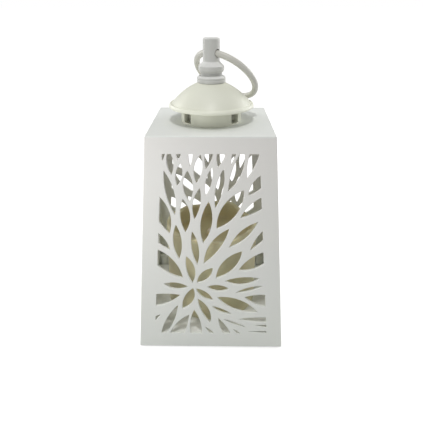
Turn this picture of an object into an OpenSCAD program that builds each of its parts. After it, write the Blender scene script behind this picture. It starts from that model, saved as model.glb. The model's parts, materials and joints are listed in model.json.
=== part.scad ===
// LED lantern: a tapered square body with pierced leaf walls over a battery candle,
// with a vented cap and a carry ring. Millimetres, +Z up, origin under the middle of the feet.

/* [Body] */
// Width of the body across its foot
base_w = 113; // [100:1:130]
// Width of the body across its top edge
top_w = 86.6; // [80:0.2:96]
// Height of the body shell
body_h = 168; // [150:1:190]
// Thickness of the body's walls
wall_t = 2.4; // [1.8:0.1:3.2]
// Thickness of the body's top plate
top_t = 2.4; // [1.8:0.1:3.2]
// Rounding of the body's upright and top edges
edge_r = 1.2; // [0.6:0.2:4]
// Radius of the vent in the top plate
vent_r = 14; // [10:0.5:15]

/* [Pierced walls] */
// Height of the pattern's lower edge above the body's foot
window_z = 12.5; // [12:0.5:18]
// Height of the pattern
window_h = 143.7; // [125:0.1:150]
// Plain margin at each side of the pattern
window_margin = 11.6; // [10:0.2:14]
// How far the burst stands to the right of the wall's middle
burst_shift = 0.4; // [0:0.1:2]

/* [Chimney collar] */
// Outer radius of the collar under the cap
collar_r = 22; // [20.5:0.5:24]
// Thickness of the collar's wall
collar_t = 2.4; // [1.8:0.1:3]
// Clear height between the top plate and the cap's rim
cap_gap = 11.5; // [8:0.5:14]
// Width of each vent slot in the collar
slot_w = 7.4; // [3:0.2:9]
// Direction of the vent slots, turned from the right side towards the front and back
slot_turn = 39.5; // [25:0.5:60]
// Height of the collar's unbroken foot ring
collar_foot_h = 1.2; // [1:0.2:3]

/* [Cap] */
// Radius of the cap's rolled rim
cap_r = 30.9; // [28:0.1:34]
// Radius of the bead rolled into the rim
rim_bead_r = 1.3; // [0.9:0.1:1.8]
// Height of the cap from its rim to its flat seat
cap_h = 15.7; // [13:0.1:20]
// Bulge of the cap's side above a straight cone
cap_bulge = 1.5; // [0.5:0.1:3]
// Thickness of the cap's shell
cap_t = 2; // [1.6:0.1:2.6]

/* [Finial] */
// Radius of the finial's flange
flange_r = 10.2; // [9.2:0.1:11]
// Height of the flange
flange_h = 4.6; // [3.6:0.2:6]
// Radius of the neck above the flange
neck_r = 7.9; // [7:0.1:8.4]
// Height of the neck
neck_h = 2.3; // [1.2:0.1:3]
// Radius of the bulb
bulb_r = 9.1; // [8.4:0.1:10]
// Height of the bulb
bulb_h = 7.4; // [7:0.2:10]
// Radius of the post that carries the ring
post_r = 5.9; // [5:0.1:6.4]
// Height of the post above the bulb
post_h = 15.4; // [12:0.2:18]
// Height of the ring's hole above the bulb
eye_h = 5.4; // [4.6:0.2:7]

/* [Carry ring] */
// Radius of the ring's centre line
ring_r = 24; // [22:0.5:27]
// Radius of the ring's wire
wire_r = 2.25; // [1.6:0.05:2.4]
// Direction of the ring's hole, turned from the front-to-back plane's right side
eye_turn = -39; // [-60:1:-20]

/* [Candle] */
// Radius of the candle
candle_r = 37.5; // [35.5:0.5:40]
// Height of the candle above the floor panel
candle_h = 75.5; // [55:0.5:90]
// Thickness of the candle's wall
candle_t = 2.2; // [1.8:0.1:3]
// Depth of the pool in the candle's top
pool_depth = 15.5; // [8:0.5:18]
// Width of the candle's rim around the pool
rim_w = 4.5; // [3.5:0.5:7]

/* [Base] */
// Height that the feet lift the body
stand_h = 1; // [0.6:0.1:2]
// Recess of the base plate inside the body's foot
base_recess = 1; // [0.6:0.1:2]
// Thickness of the base plate
plate_t = 3; // [2.8:0.1:4]
// Clear height between the base plate and the floor panel
floor_gap = 5; // [4.6:0.2:7]
// Thickness of the floor panel
floor_t = 2; // [1.6:0.1:3]
// Radius of a rubber foot
foot_r = 5.5; // [4:0.5:6]

/* [Battery box] */
// Radius of one cell
cell_r = 5.25; // [5.1:0.05:5.3]
// Length of one cell with its nub
cell_len = 44.5; // [44:0.1:45]
// Thickness of the box's walls
box_t = 2; // [1.6:0.1:2.4]
// Thickness of the battery door
door_t = 1.9; // [1.6:0.1:2.1]

/* [Hidden] */

// Fits and small clearances
over = 1;                  // overrun of a cut past the face that it opens
fit_gap = 0.3;             // gap between a piece and the pocket that it drops into
run_gap = 0.05;            // radial clearance of a turning or screwed fit
soft_gap = 0.3;            // least gap between curved neighbours that swing past each other

// Levels, from the ground up
body_z = stand_h;
plate_z = body_z + base_recess;
plate_top = plate_z + plate_t;
floor_z = plate_top + floor_gap;
floor_top = floor_z + floor_t;
candle_top = floor_top + candle_h;
body_top = body_z + body_h;
rim_z = body_top + cap_gap;
seat_z = rim_z + cap_h;
neck_z = seat_z + flange_h;
bulb_z = neck_z + neck_h;
post_z = bulb_z + bulb_h;
post_top = post_z + post_h;
eye_z = post_z + eye_h;

// Taper of the body
lean = (base_w - top_w) / 2 / body_h;
lean_angle = atan(lean);
function half_out(z) = base_w / 2 - lean * (z - body_z);
function half_in(z) = half_out(z) - wall_t;

// Screws, each size as [shank radius, head radius, head height]
big_screw = [1.5, 2.8, 1.5];
small_screw = [1.2, 2.2, 1.3];
tiny_screw = [0.9, 1.7, 1];
drive_share = 0.55;        // width and depth of a head's cross slots, of its radius and height
drive_t_share = 0.22;      // thickness of a cross slot, of the head's radius

// Leaves of one wall's burst, as [across 1, up 1, across 2, up 2, left bulge, right bulge].
// Places are shares of the pattern's half width and height, bulges are shares of the leaf's length.
leaf_shares = [
    // The leaves around the heart
    [-0.425, 0.293, -0.88, 0.311, 0.18, 0.125],
    [-0.345, 0.316, -0.47, 0.472, 0.09, 0.18],
    [-0.26, 0.317, 0.03, 0.405, 0.19, 0.20],
    [-0.07, 0.294, 0.33, 0.283, 0.145, 0.19],
    [-0.28, 0.283, 0.035, 0.212, 0.14, 0.17],
    [-0.245, 0.22, -0.015, 0.068, 0.165, 0.08],
    [-0.335, 0.285, -0.52, 0.158, 0.23, 0.14],
    // The lower left fan
    [-0.56, 0.242, -1.45, 0.205, 0.18, 0.09],
    [-0.92, 0.12, -1.20, 0.05, 0.10, 0.08],
    [-0.61, 0.178, -0.90, -0.04, 0.085, 0.09],
    [-0.405, 0.118, -0.72, -0.12, 0.09, 0.18],
    [-0.31, 0.15, -0.25, -0.10, 0.135, 0.12],
    [-0.105, 0.042, 0.12, -0.04, 0.09, 0.08],
    // The lower right fan
    [0.11, 0.231, 0.84, 0.14, 0.135, 0.14],
    [0.015, 0.175, 0.365, 0.126, 0.07, 0.12],
    [0.13, 0.098, 0.40, -0.07, 0.085, 0.105],
    [0.22, 0.094, 0.62, 0.043, 0.035, 0.06],
    [0.49, 0.094, 1.50, 0.09, 0.045, 0.055],
    [0.79, 0.056, 1.35, 0.042, 0.04, 0.06],
    [0.66, 0.014, 1.40, 0.008, 0.02, 0.03],
    [0.40, 0.028, 0.62, -0.04, 0.07, 0.06],
    [0.61, 0.232, 1.45, 0.205, 0.115, 0.18],
    [0.455, 0.259, 0.95, 0.301, 0.08, 0.07],
    [0.26, 0.33, 0.90, 0.346, 0.08, 0.17],
    // The right side
    [0.51, 0.393, 1.20, 0.51, 0.12, 0.195],
    [0.09, 0.345, 0.59, 0.502, 0.165, 0.16],
    [0.745, 0.508, 1.25, 0.66, 0.11, 0.08],
    [0.345, 0.522, 0.91, 0.663, 0.12, 0.11],
    [-0.135, 0.43, 0.35, 0.625, 0.145, 0.09],
    [0.11, 0.625, 0.65, 0.825, 0.165, 0.17],
    [0.57, 0.683, 1.30, 0.81, 0.14, 0.11],
    [0.735, 0.798, 1.20, 0.92, 0.17, 0.14],
    // The left side
    [-0.525, 0.345, -1.30, 0.53, 0.13, 0.17],
    [-0.78, 0.508, -1.25, 0.63, 0.10, 0.144],
    [-0.80, 0.598, -1.25, 0.83, 0.10, 0.19],
    [-0.605, 0.456, -0.68, 0.645, 0.113, 0.113],
    [-0.26, 0.425, -0.365, 0.61, 0.082, 0.11],
    [-0.15, 0.545, -0.045, 0.768, 0.115, 0.133],
    [-0.495, 0.605, -0.555, 0.78, 0.11, 0.17],
    [-0.705, 0.698, -0.95, 0.92, 0.075, 0.105],
    [-0.32, 0.675, -0.225, 0.835, 0.13, 0.095],
    // The upper fan
    [0.085, 0.735, 0.255, 0.93, 0.09, 0.09],
    [0.34, 0.82, 0.67, 1.03, 0.07, 0.14],
    [-0.105, 0.797, 0.025, 0.937, 0.11, 0.09],
    [-0.42, 0.768, -0.475, 0.92, 0.17, 0.135],
    [-0.67, 0.848, -0.62, 0.955, 0.14, 0.148],
    [-0.29, 0.86, -0.215, 0.997, 0.15, 0.125],
    [-0.795, 0.90, -0.87, 1.02, 0.12, 0.13],
    // The leaves that the top edge cuts
    [0.72, 0.883, 1.05, 1.10, 0.10, 0.088],
    [0.405, 0.95, 0.62, 1.09, 0.084, 0.05],
    [0.135, 0.935, 0.28, 1.10, 0.10, 0.145],
    [-0.105, 0.928, 0.00, 1.10, 0.088, 0.136],
    [-0.42, 0.943, -0.41, 1.07, 0.083, 0.075],
    [-0.665, 0.972, -0.66, 1.07, 0.13, 0.13],
    [-0.985, 0.968, -0.97, 1.06, 0.05, 0.10]
];

// Colours
white_paint = [0.86, 0.87, 0.85];
cream_paint = [0.84, 0.84, 0.79];
grey_paint = [0.70, 0.71, 0.69];
wax = [0.80, 0.74, 0.62];
steel = [0.72, 0.73, 0.75];

// Basic shapes

// A tapered square block between two levels, drawn in from the body's outer faces by inset
module taper_block(z0, z1, inset) {
    a = half_out(z0) - inset;
    b = half_out(z1) - inset;
    reach = base_w;
    intersection() {
        rotate([90, 0, 0])
            translate([0, 0, -reach])
                linear_extrude(2 * reach) polygon([[-a, z0], [a, z0], [b, z1], [-b, z1]]);
        rotate([90, 0, 90])
            translate([0, 0, -reach])
                linear_extrude(2 * reach) polygon([[-a, z0], [a, z0], [b, z1], [-b, z1]]);
    }
}

module at_corners(x, y) {
    for (sx = [-1, 1], sy = [-1, 1]) translate([sx * x, sy * y, 0]) children();
}

// A screw with its head's underside at the origin, pointing up
module screw(size, length) {
    r = size[0];
    head_r = size[1];
    head_h = size[2];
    drive_r = head_r * drive_share;
    drive_t = head_r * drive_t_share;
    drive_h = head_h * drive_share;
    difference() {
        union() {
            cylinder(r = r, h = length - r, $fn = 32);
            translate([0, 0, length - r]) cylinder(r1 = r, r2 = r / 3, h = r, $fn = 32);
            translate([0, 0, -head_h]) cylinder(r1 = head_r * 0.8, r2 = head_r, h = head_h / 3, $fn = 32);
            translate([0, 0, -head_h * 2 / 3]) cylinder(r = head_r, h = head_h * 2 / 3, $fn = 32);
        }
        for (turn = [0, 90])
            rotate([0, 0, turn])
                translate([-drive_r, -drive_t / 2, -head_h - over])
                    cube([2 * drive_r, drive_t, drive_h + over]);
    }
}

// A plain tube, from its foot up
module tube_wall(outer_r, wall, height) {
    difference() {
        cylinder(r = outer_r, h = height, $fn = 128);
        translate([0, 0, -over]) cylinder(r = outer_r - wall, h = height + 2 * over, $fn = 128);
    }
}

// Points of an arc from p to q that stands out to the left of the chord by bulge
function arc_points(p, q, bulge, n) =
    let (d = q - p, len = norm(d), r = (len * len / 4 + bulge * bulge) / (2 * bulge),
        u = d / len, side = [-u[1], u[0]], mid = (p + q) / 2, c = mid - side * (r - bulge),
        sweep = 2 * asin(len / 2 / r))
    [for (i = [0 : n]) let (a = sweep * (0.5 - i / n)) c + r * (side * cos(a) - u * sin(a))];

// A lens between two points, bulging by shares of its own length to each side of the way p to q
module leaf(p, q, left_share, right_share) {
    d = q - p;
    len = norm(d);
    left = len * left_share;
    right = len * right_share;
    left_r = (len * len / 4 + left * left) / (2 * left);
    right_r = (len * len / 4 + right * right) / (2 * right);
    translate((p + q) / 2)
        rotate(atan2(d[1], d[0]))
            intersection() {
                translate([0, left - left_r]) circle(left_r, $fn = 180);
                translate([0, right_r - right]) circle(right_r, $fn = 180);
            }
}

// The body and its pierced walls

// Half width of the pattern at a share of its height
function window_half(v) = half_out(body_z + window_z + window_h * v) - window_margin;
function window_point(u, v) = [window_half(v) * u, (window_z + window_h * v) / cos(lean_angle)];

// The burst of leaves on one wall, across and up the wall's own face
module burst() {
    intersection() {
        polygon([window_point(-1, 0), window_point(1, 0), window_point(1, 1), window_point(-1, 1)]);
        union() {
            for (s = leaf_shares)
                translate([burst_shift, 0])
                    leaf(window_point(s[0], s[1]), window_point(s[2], s[3]), s[4], s[5]);
        }
    }
}

// Places its children on the face of the wall that looks in direction turn
module on_wall(turn) {
    rotate([0, 0, turn])
        translate([0, -base_w / 2, body_z])
            rotate([90 - lean_angle, 0, 0]) children();
}

boss_r = 3.6;
boss_h = 16;
boss_gap = 2.5;            // gap between a boss and the foot of the wall beside it
boss_at = base_w / 2 - wall_t - boss_r - boss_gap;
rib_t = 1.8;

module housing() {
    slab = edge_r / 10;
    low = half_out(body_z) - edge_r;
    high = half_out(body_top - edge_r) - edge_r / cos(lean_angle);
    hole_r = big_screw[0] + run_gap;
    hole_depth = 10;
    color(white_paint)
        difference() {
            union() {
                difference() {
                    hull() {
                        translate([0, 0, body_z])
                            at_corners(low, low) cylinder(r = edge_r, h = slab, $fn = 32);
                        translate([0, 0, body_top - edge_r])
                            at_corners(high, high) sphere(edge_r, $fn = 32);
                    }
                    taper_block(body_z - over, body_top - top_t, wall_t);
                }
                corner_bosses();
            }
            translate([0, 0, body_top - top_t - over]) cylinder(r = vent_r, h = top_t + 2 * over, $fn = 96);
            translate([0, 0, body_top - top_t - over])
                collar_places() cylinder(r = small_screw[0] + 3 * run_gap, h = top_t + 2 * over, $fn = 24);
            translate([0, 0, plate_top - over]) at_corners(boss_at, boss_at)
                cylinder(r = hole_r, h = hole_depth + over, $fn = 24);
            for (turn = [0, 90, 180, 270])
                on_wall(turn)
                    translate([0, 0, -wall_t - over]) linear_extrude(wall_t + 2 * over) burst();
        }
}

// Screw bosses in the body's lower corners, tied to both walls by ribs
module corner_bosses() {
    intersection() {
        translate([0, 0, plate_top]) {
            at_corners(boss_at, boss_at) cylinder(r = boss_r, h = boss_h, $fn = 48);
            for (turn = [0, 90, 180, 270])
                rotate([0, 0, turn]) {
                    translate([boss_at, boss_at - rib_t / 2, 0]) cube([base_w / 2 - boss_at, rib_t, boss_h]);
                    translate([boss_at - rib_t / 2, boss_at, 0]) cube([rib_t, base_w / 2 - boss_at, boss_h]);
                }
        }
        taper_block(plate_top, plate_top + boss_h, wall_t / 2);
    }
}

// The collar and the cap

collar_boss_r = 3;
boss_cover = 0.4;          // least wall left outside a collar boss
collar_boss_at = collar_r - collar_boss_r - boss_cover;
collar_boss_h = 7;
bridge_t = 3;
bridge_w = 9;
spigot_r = 6;
cap_overlap = 2.6;         // how far the collar stands up inside the cap
seat_round = 0.5;          // chamfer around the cap's flat seat
bulb_high_share = 0.6;     // top of the bulb's upright side, of its height
collar_top = rim_z + cap_overlap;

// Middle of each collar screw
module collar_places() {
    for (turn = [0, 90, 180, 270]) rotate([0, 0, turn]) translate([collar_boss_at, 0, 0]) children();
}

module chimney_collar() {
    inner_r = collar_r - collar_t;
    color(cream_paint)
        difference() {
            union() {
                translate([0, 0, body_top])
                    difference() {
                        tube_wall(collar_r, collar_t, collar_top - body_top);
                        for (turn = [slot_turn, -slot_turn])
                            rotate([0, 0, turn])
                                translate([-collar_r - over, -slot_w / 2, collar_foot_h])
                                    cube([2 * collar_r + 2 * over, slot_w, collar_top]);
                    }
                translate([0, 0, body_top])
                    collar_places() cylinder(r = collar_boss_r, h = collar_boss_h, $fn = 48);
                translate([0, 0, collar_top - bridge_t])
                    intersection() {
                        for (turn = [0, 90])
                            rotate([0, 0, turn])
                                translate([-collar_r, -bridge_w / 2, 0])
                                    cube([2 * collar_r, bridge_w, bridge_t]);
                        cylinder(r = inner_r + collar_t / 2, h = bridge_t, $fn = 128);
                    }
            }
            translate([0, 0, body_top - over])
                collar_places() cylinder(r = small_screw[0] + run_gap, h = collar_boss_h, $fn = 24);
            translate([0, 0, collar_top - bridge_t - over])
                cylinder(r = big_screw[0] + 3 * run_gap, h = bridge_t + 2 * over, $fn = 32);
        }
}

module cap_screws() {
    color(steel)
        translate([0, 0, body_top - top_t])
            collar_places() screw(small_screw, top_t + collar_boss_h - 2 * over);
}

module dome_cap() {
    inner = [for (p = cap_outer) p - [cap_t * 0.6, cap_t]];
    flat_in = inner[0][1];
    color(cream_paint)
        difference() {
            union() {
                rotate_extrude($fn = 128)
                    polygon(concat([[0, seat_z], [flange_r - seat_round, seat_z]], cap_outer,
                        [for (i = [0 : cap_steps]) inner[cap_steps - i]], [[0, flat_in]]));
                rotate_extrude($fn = 128) translate(bead_at) circle(rim_bead_r, $fn = 32);
                translate([0, 0, collar_top])
                    cylinder(r = spigot_r, h = seat_z - cap_t / 2 - collar_top, $fn = 64);
                // The rib that stands on the collar, up to the middle of the shell
                intersection() {
                    translate([0, 0, collar_top])
                        tube_wall(collar_r - collar_t / 4, collar_t / 2, seat_z - collar_top);
                    rotate_extrude($fn = 128)
                        polygon(concat([[0, rim_z], [0, seat_z - cap_t / 2]],
                            [for (p = cap_outer) p - cap_t * [0.3, 0.5]], [[bead_at[0], rim_z]]));
                }
            }
            translate([0, 0, collar_top - over])
                cylinder(r = big_screw[0] + 3 * run_gap, h = cap_h + 2 * over, $fn = 32);
        }
}

module finial() {
    chamfer = 0.8;
    shoulder_bulge = 0.5;
    bevel_h = flange_h * 0.35;
    belly_low = bulb_z + bulb_h * 0.22;
    belly_high = bulb_z + bulb_h * bulb_high_share;
    hole_r = wire_r + eye_sag / 2 + 2 * run_gap;
    color(grey_paint)
        difference() {
            rotate_extrude($fn = 96)
                polygon(concat(
                    [[0, seat_z], [flange_r - chamfer / 2, seat_z], [flange_r, seat_z + chamfer / 2],
                        [flange_r, neck_z - bevel_h], [flange_r - chamfer / 2, neck_z - bevel_h / 2],
                        [neck_r, neck_z], [neck_r, bulb_z]],
                    [[bulb_r, belly_low]],
                    arc_points([bulb_r, belly_high], [post_r, post_z], -shoulder_bulge, 5),
                    [[post_r, post_top - chamfer], [post_r - chamfer, post_top], [0, post_top]]));
            translate([0, 0, seat_z - over])
                cylinder(r = big_screw[0] + run_gap, h = finial_grip + 2 * over, $fn = 32);
            translate([0, 0, eye_z]) rotate([0, 0, eye_turn]) rotate([0, 90, 0])
                cylinder(r = hole_r, h = 2 * post_r + 2 * over, center = true, $fn = 64);
        }
}

finial_grip = 9;
eye_sag = ring_r - sqrt(ring_r * ring_r - post_r * post_r);   // of the ring's curve inside the post

module finial_screw() {
    length = seat_z - (collar_top - bridge_t) + finial_grip;
    color(steel) translate([0, 0, collar_top - bridge_t]) screw(big_screw, length);
}

// The ring hangs through the finial's eye and lies back against whatever it meets first.
// Each guard is a stretch of the outline below the eye, as [end, end, radius], in radius and height.
cap_steps = 12;
bead_at = [cap_r - rim_bead_r, rim_z + rim_bead_r];
cap_outer = arc_points([flange_r, seat_z - seat_round], bead_at + rim_bead_r * [-0.7, 0.7],
    cap_bulge, cap_steps);
guards = concat(
    [[bead_at, bead_at, rim_bead_r], [[0, neck_z], [flange_r, neck_z - flange_h / 4], 0],
        [[bulb_r, bulb_z], [bulb_r, bulb_z + bulb_h * bulb_high_share], 0],
        [[0, body_top], [top_w / 2, body_top], 0]],
    [for (i = [1 : cap_steps]) [cap_outer[i - 1], cap_outer[i], 0]]);

// Distance from a point to a guard
function off_guard(p, g) =
    let (d = g[1] - g[0], len = d * d, t = len > 0 ? max(0, min(1, (p - g[0]) * d / len)) : 0)
    norm(p - g[0] - t * d) - g[2];

// The outline place of the wire's centre a degrees round from the eye, with the ring drooping
function wire_place(droop, a) =
    let (out = ring_r * (1 - cos(a)) - eye_sag / 2)
    [norm([ring_r * sin(a), out * cos(droop)]), eye_z - out * sin(droop)];

function ring_room(droop) =
    min([for (a = [30 : 3 : 180]) let (p = wire_place(droop, a)) min([for (g = guards) off_guard(p, g)])]);

// The steepest droop that still leaves the ring clear, closed in on by halving
function settle(low, high, n) =
    n == 0 ? low
    : let (mid = (low + high) / 2)
        ring_room(mid) > wire_r + soft_gap ? settle(mid, high, n - 1) : settle(low, mid, n - 1);
ring_droop = settle(0, 88, 14);

module carry_ring() {
    color(cream_paint)
        translate([0, 0, eye_z])
            rotate([0, 0, eye_turn])
                rotate([-ring_droop, 0, 0])
                    translate([0, ring_r - eye_sag / 2, 0])
                        rotate_extrude($fn = 128) translate([ring_r, 0]) circle(wire_r, $fn = 32);
}

// The base

plate_half = half_in(plate_top) - fit_gap;
cell_gap = 0.7;            // gap between two cells
cell_side = 0.8;           // gap between an outer cell and the box
cell_lift = 0.7;           // gap between a cell and the door
cell_pitch = 2 * cell_r + cell_gap;
box_half_x = cell_pitch + cell_r + cell_side;
spring_len = 6.3;
contact_t = 0.4;
box_half_y = (cell_len + spring_len + 2 * contact_t + 2 * run_gap) / 2;
box_out_x = box_half_x + box_t;
box_out_y = box_half_y + box_t;
ledge_t = 0.9;
door_gap = 0.1;
box_floor = plate_top - ledge_t;
cell_z = box_floor + cell_lift + cell_r;
box_ceiling = cell_z + cell_r + fit_gap;
box_top = box_ceiling + box_t;
door_ledge = 2.4;          // how far the door laps the box's edge at each side
hinge_lap = 4;             // how far it laps the edge at its hinge
thumb_lap = 3;             // how far it laps the edge at its free end
door_half_x = box_half_x + door_ledge;
hinge_y = -box_half_y - hinge_lap;
hinge_z = plate_z + door_gap + door_t / 2;
door_end = box_half_y + thumb_lap;
pin_r = 0.65;
pin_len = 2.2;
foot_inset = 17;           // from the body's outer edge to a foot's middle
foot_at = base_w / 2 - foot_inset;
standoff_r = 3.5;
standoff_inset = 13;       // from the body's outer edge to a stand-off's middle
standoff_x = base_w / 2 - standoff_inset;
standoff_y = 20;
switch_y = -(box_out_y + plate_half) / 2;
head_gap = 0.1;            // depth left over a sunk screw head
base_screw_grip = 8;       // length of a base screw inside its boss
wire_notch_d = 5;          // depth of a lead's notch in the floor panel
switch_travel = 4;
knob_w = 2.6;
knob_d = 2.2;
thumb_r = 7;

module counterbore(size) {
    translate([0, 0, -over]) cylinder(r = size[1] + fit_gap, h = size[2] + head_gap + over, $fn = 32);
    translate([0, 0, -over]) cylinder(r = size[0] + 3 * run_gap, h = plate_t + 2 * over, $fn = 24);
}

module standoff_places() {
    at_corners(standoff_x, standoff_y) children();
}

module base_plate() {
    tab_slot = [tab_w + 2 * fit_gap, contact_t + 2 * fit_gap];
    color([0.80, 0.81, 0.79])
        difference() {
            union() {
                translate([-plate_half, -plate_half, plate_z])
                    cube([2 * plate_half, 2 * plate_half, plate_t]);
                translate([-box_half_x - box_t, -box_half_y - box_t, plate_z])
                    cube([2 * (box_half_x + box_t), 2 * (box_half_y + box_t), box_top - plate_z]);
                translate([0, 0, box_top])
                    board_places() cylinder(r = board_post_r, h = board_post_h, $fn = 32);
            }
            // The cell space, and the rebate for the door with its finger pull
            translate([-box_half_x, -box_half_y, plate_z - over])
                cube([2 * box_half_x, 2 * box_half_y, box_ceiling - plate_z + over]);
            translate([-door_half_x - fit_gap, hinge_y - door_t / 2 - fit_gap, plate_z - over])
                cube([2 * (door_half_x + fit_gap), door_end - hinge_y + door_t / 2 + 2 * fit_gap,
                    box_floor - plate_z + over]);
            translate([0, door_end + thumb_r / 2, plate_z - over])
                cylinder(r = thumb_r, h = over + plate_t / 2, $fn = 48);
            // Bores for the door's pins
            translate([0, hinge_y, hinge_z]) rotate([0, 90, 0])
                cylinder(r = pin_r + run_gap, h = 2 * (door_half_x + fit_gap + pin_len), center = true,
                    $fn = 24);
            // Screw holes
            translate([0, 0, plate_z]) at_corners(boss_at, boss_at) counterbore(big_screw);
            translate([0, 0, plate_z]) standoff_places() counterbore(small_screw);
            translate([0, 0, box_top]) board_places()
                cylinder(r = small_screw[0] + run_gap, h = board_post_h + over, $fn = 24);
            // Slots for the two contact tabs that carry the leads
            for (tab = tab_places)
                translate([tab[0], tab[1], box_ceiling - over])
                    translate([-tab_slot[0] / 2, -tab_slot[1] / 2, 0])
                        cube([tab_slot[0], tab_slot[1], box_t + 2 * over]);
            // The switch's pocket, slot and screw holes
            translate([0, switch_y, 0]) {
                translate([-pocket_w / 2, -pocket_d / 2, plate_z - over])
                    cube([pocket_w, pocket_d, plate_t / 3 + over]);
                translate([-(knob_w + switch_travel) / 2 - fit_gap, -knob_d / 2 - fit_gap, plate_z])
                    cube([knob_w + switch_travel + 2 * fit_gap, knob_d + 2 * fit_gap, plate_t + over]);
                for (side = [-1, 1])
                    translate([side * ear_at, 0, plate_top - switch_grip])
                        cylinder(r = tiny_screw[0] + run_gap, h = switch_grip + over, $fn = 24);
            }
        }
}

module base_screws() {
    seat = plate_z + big_screw[2] + head_gap;
    color(steel)
        translate([0, 0, seat])
            at_corners(boss_at, boss_at) screw(big_screw, plate_top - seat + base_screw_grip);
}

module rubber_feet() {
    color([0.25, 0.25, 0.26])
        at_corners(foot_at, foot_at)
            rotate_extrude($fn = 48)
                polygon([[0, 0], [foot_r * 0.9, 0], [foot_r, plate_z * 0.3], [foot_r, plate_z],
                    [0, plate_z]]);
}

module floor_panel() {
    half = half_in(floor_top) - fit_gap;
    notch = half - boss_at + boss_r + fit_gap;
    wire_notch = [2 * (lead_r + fit_gap), wire_notch_d];
    color([0.80, 0.81, 0.79])
        difference() {
            union() {
                translate([-half, -half, floor_z]) cube([2 * half, 2 * half, floor_t]);
                translate([0, 0, plate_top])
                    standoff_places() cylinder(r = standoff_r, h = floor_gap, $fn = 48);
            }
            at_corners(half - notch / 2, half - notch / 2)
                translate([-notch / 2 - fit_gap, -notch / 2 - fit_gap, floor_z - over])
                    cube([notch + over, notch + over, floor_t + 2 * over]);
            translate([-box_out_x - fit_gap, -box_out_y - fit_gap, floor_z - over])
                cube([2 * (box_out_x + fit_gap), 2 * (box_out_y + fit_gap), floor_t + 2 * over]);
            for (x = [tab_places[1][0], switch_lead_x])
                translate([x - wire_notch[0] / 2, -box_half_y - box_t - wire_notch[1], floor_z - over])
                    cube([wire_notch[0], wire_notch[1] + over, floor_t + 2 * over]);
            translate([0, 0, floor_z - over]) candle_places()
                cylinder(r = small_screw[0] + 3 * run_gap, h = floor_t + 2 * over, $fn = 24);
            translate([0, 0, plate_top - over]) standoff_places()
                cylinder(r = small_screw[0] + run_gap, h = floor_gap + over, $fn = 24);
        }
}

module floor_screws() {
    seat = plate_z + small_screw[2] + head_gap;
    color(steel)
        translate([0, 0, seat])
            standoff_places() screw(small_screw, plate_top - seat + floor_gap - over);
}

// The candle

candle_boss_r = 3.2;
candle_boss_h = 12;
boss_root = 0.3;           // how far a candle boss reaches into the wall
candle_boss_at = candle_r - candle_t - candle_boss_r + boss_root;
pool_r = candle_r - rim_w;
pool_z = candle_top - pool_depth;
lens_r = 4.2;
lens_h = 6.5;
lens_flange_r = 6;
lens_flange_h = 1.2;
led_r = 2.5;

module candle_places() {
    for (turn = [25, 155, 205, 335]) rotate([0, 0, turn]) translate([candle_boss_at, 0, 0]) children();
}

module candle_shell() {
    inner_r = candle_r - candle_t;
    lip = rim_w / 3;
    rim_steps = 6;
    rim = [for (i = [0 : rim_steps]) let (a = i * 180 / rim_steps)
        [candle_r - rim_w / 2 + rim_w / 2 * cos(a), candle_top - lip + lip * sin(a)]];
    dip_r = 34;
    color(wax)
        difference() {
            union() {
                rotate_extrude($fn = 144)
                    polygon(concat([[inner_r, floor_top], [candle_r, floor_top]], rim,
                        [[pool_r, pool_z], [0, pool_z], [0, pool_z - candle_t],
                            [pool_r - candle_t / 2, pool_z - candle_t], [inner_r, pool_z - 3 * candle_t]]));
                translate([0, 0, floor_top])
                    candle_places() cylinder(r = candle_boss_r, h = candle_boss_h, $fn = 32);
            }
            // Shallow dips that leave the rim wavy
            for (dip = rim_dip_shares)
                rotate([0, 0, dip[0]])
                    translate([candle_r - rim_w / 2, 0, candle_top + dip_r - dip[1] * rim_w])
                        sphere(dip_r, $fn = 64);
            translate([0, 0, pool_z - candle_t - over])
                cylinder(r = lens_r + run_gap, h = candle_t + 2 * over, $fn = 48);
            translate([0, 0, floor_top - over]) candle_places()
                cylinder(r = small_screw[0] + run_gap, h = candle_boss_h - over, $fn = 24);
        }
}

// Dips in the candle's rim, as [direction, depth as a share of the rim's width]
rim_dip_shares = [[-108, 0.31], [-72, 0.71], [-38, 0.49], [-8, 0.89], [28, 1.20], [107, 0.84],
    [142, 0.67], [182, 0.53], [218, 0.53]];

module candle_screws() {
    color(steel)
        translate([0, 0, floor_z])
            candle_places() screw(small_screw, floor_t + candle_boss_h - 3 * over);
}

module flame_lens() {
    base = pool_z - candle_t - lens_flange_h;
    color([0.95, 0.88, 0.70])
        difference() {
            union() {
                translate([0, 0, base]) cylinder(r = lens_flange_r, h = lens_flange_h, $fn = 48);
                translate([0, 0, base]) cylinder(r = lens_r, h = pool_z - base + lens_h - lens_r, $fn = 48);
                translate([0, 0, pool_z + lens_h - lens_r])
                    difference() {
                        sphere(lens_r, $fn = 48);
                        translate([-lens_r - over, -lens_r - over, -lens_r - 2 * over])
                            cube([2 * (lens_r + over), 2 * (lens_r + over), lens_r + 2 * over]);
                    }
            }
            translate([0, 0, base - over]) cylinder(r = led_r + run_gap, h = led_seat_h + over, $fn = 32);
        }
}

led_seat_h = 6;
led_z = pool_z - candle_t - lens_flange_h;
led_rim_h = 1;

module led() {
    color([0.98, 0.94, 0.82])
        translate([0, 0, led_z]) {
            translate([0, 0, -led_rim_h]) cylinder(r = led_r * 1.16, h = led_rim_h, $fn = 32);
            cylinder(r = led_r, h = led_seat_h - led_r, $fn = 32);
            translate([0, 0, led_seat_h - led_r])
                difference() {
                    sphere(led_r, $fn = 32);
                    translate([-led_r - over, -led_r - over, -led_r - 2 * over])
                        cube([2 * (led_r + over), 2 * (led_r + over), led_r + 2 * over]);
                }
        }
}

lead_pitch = 2.54;
lead_wire_r = 0.3;

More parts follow.
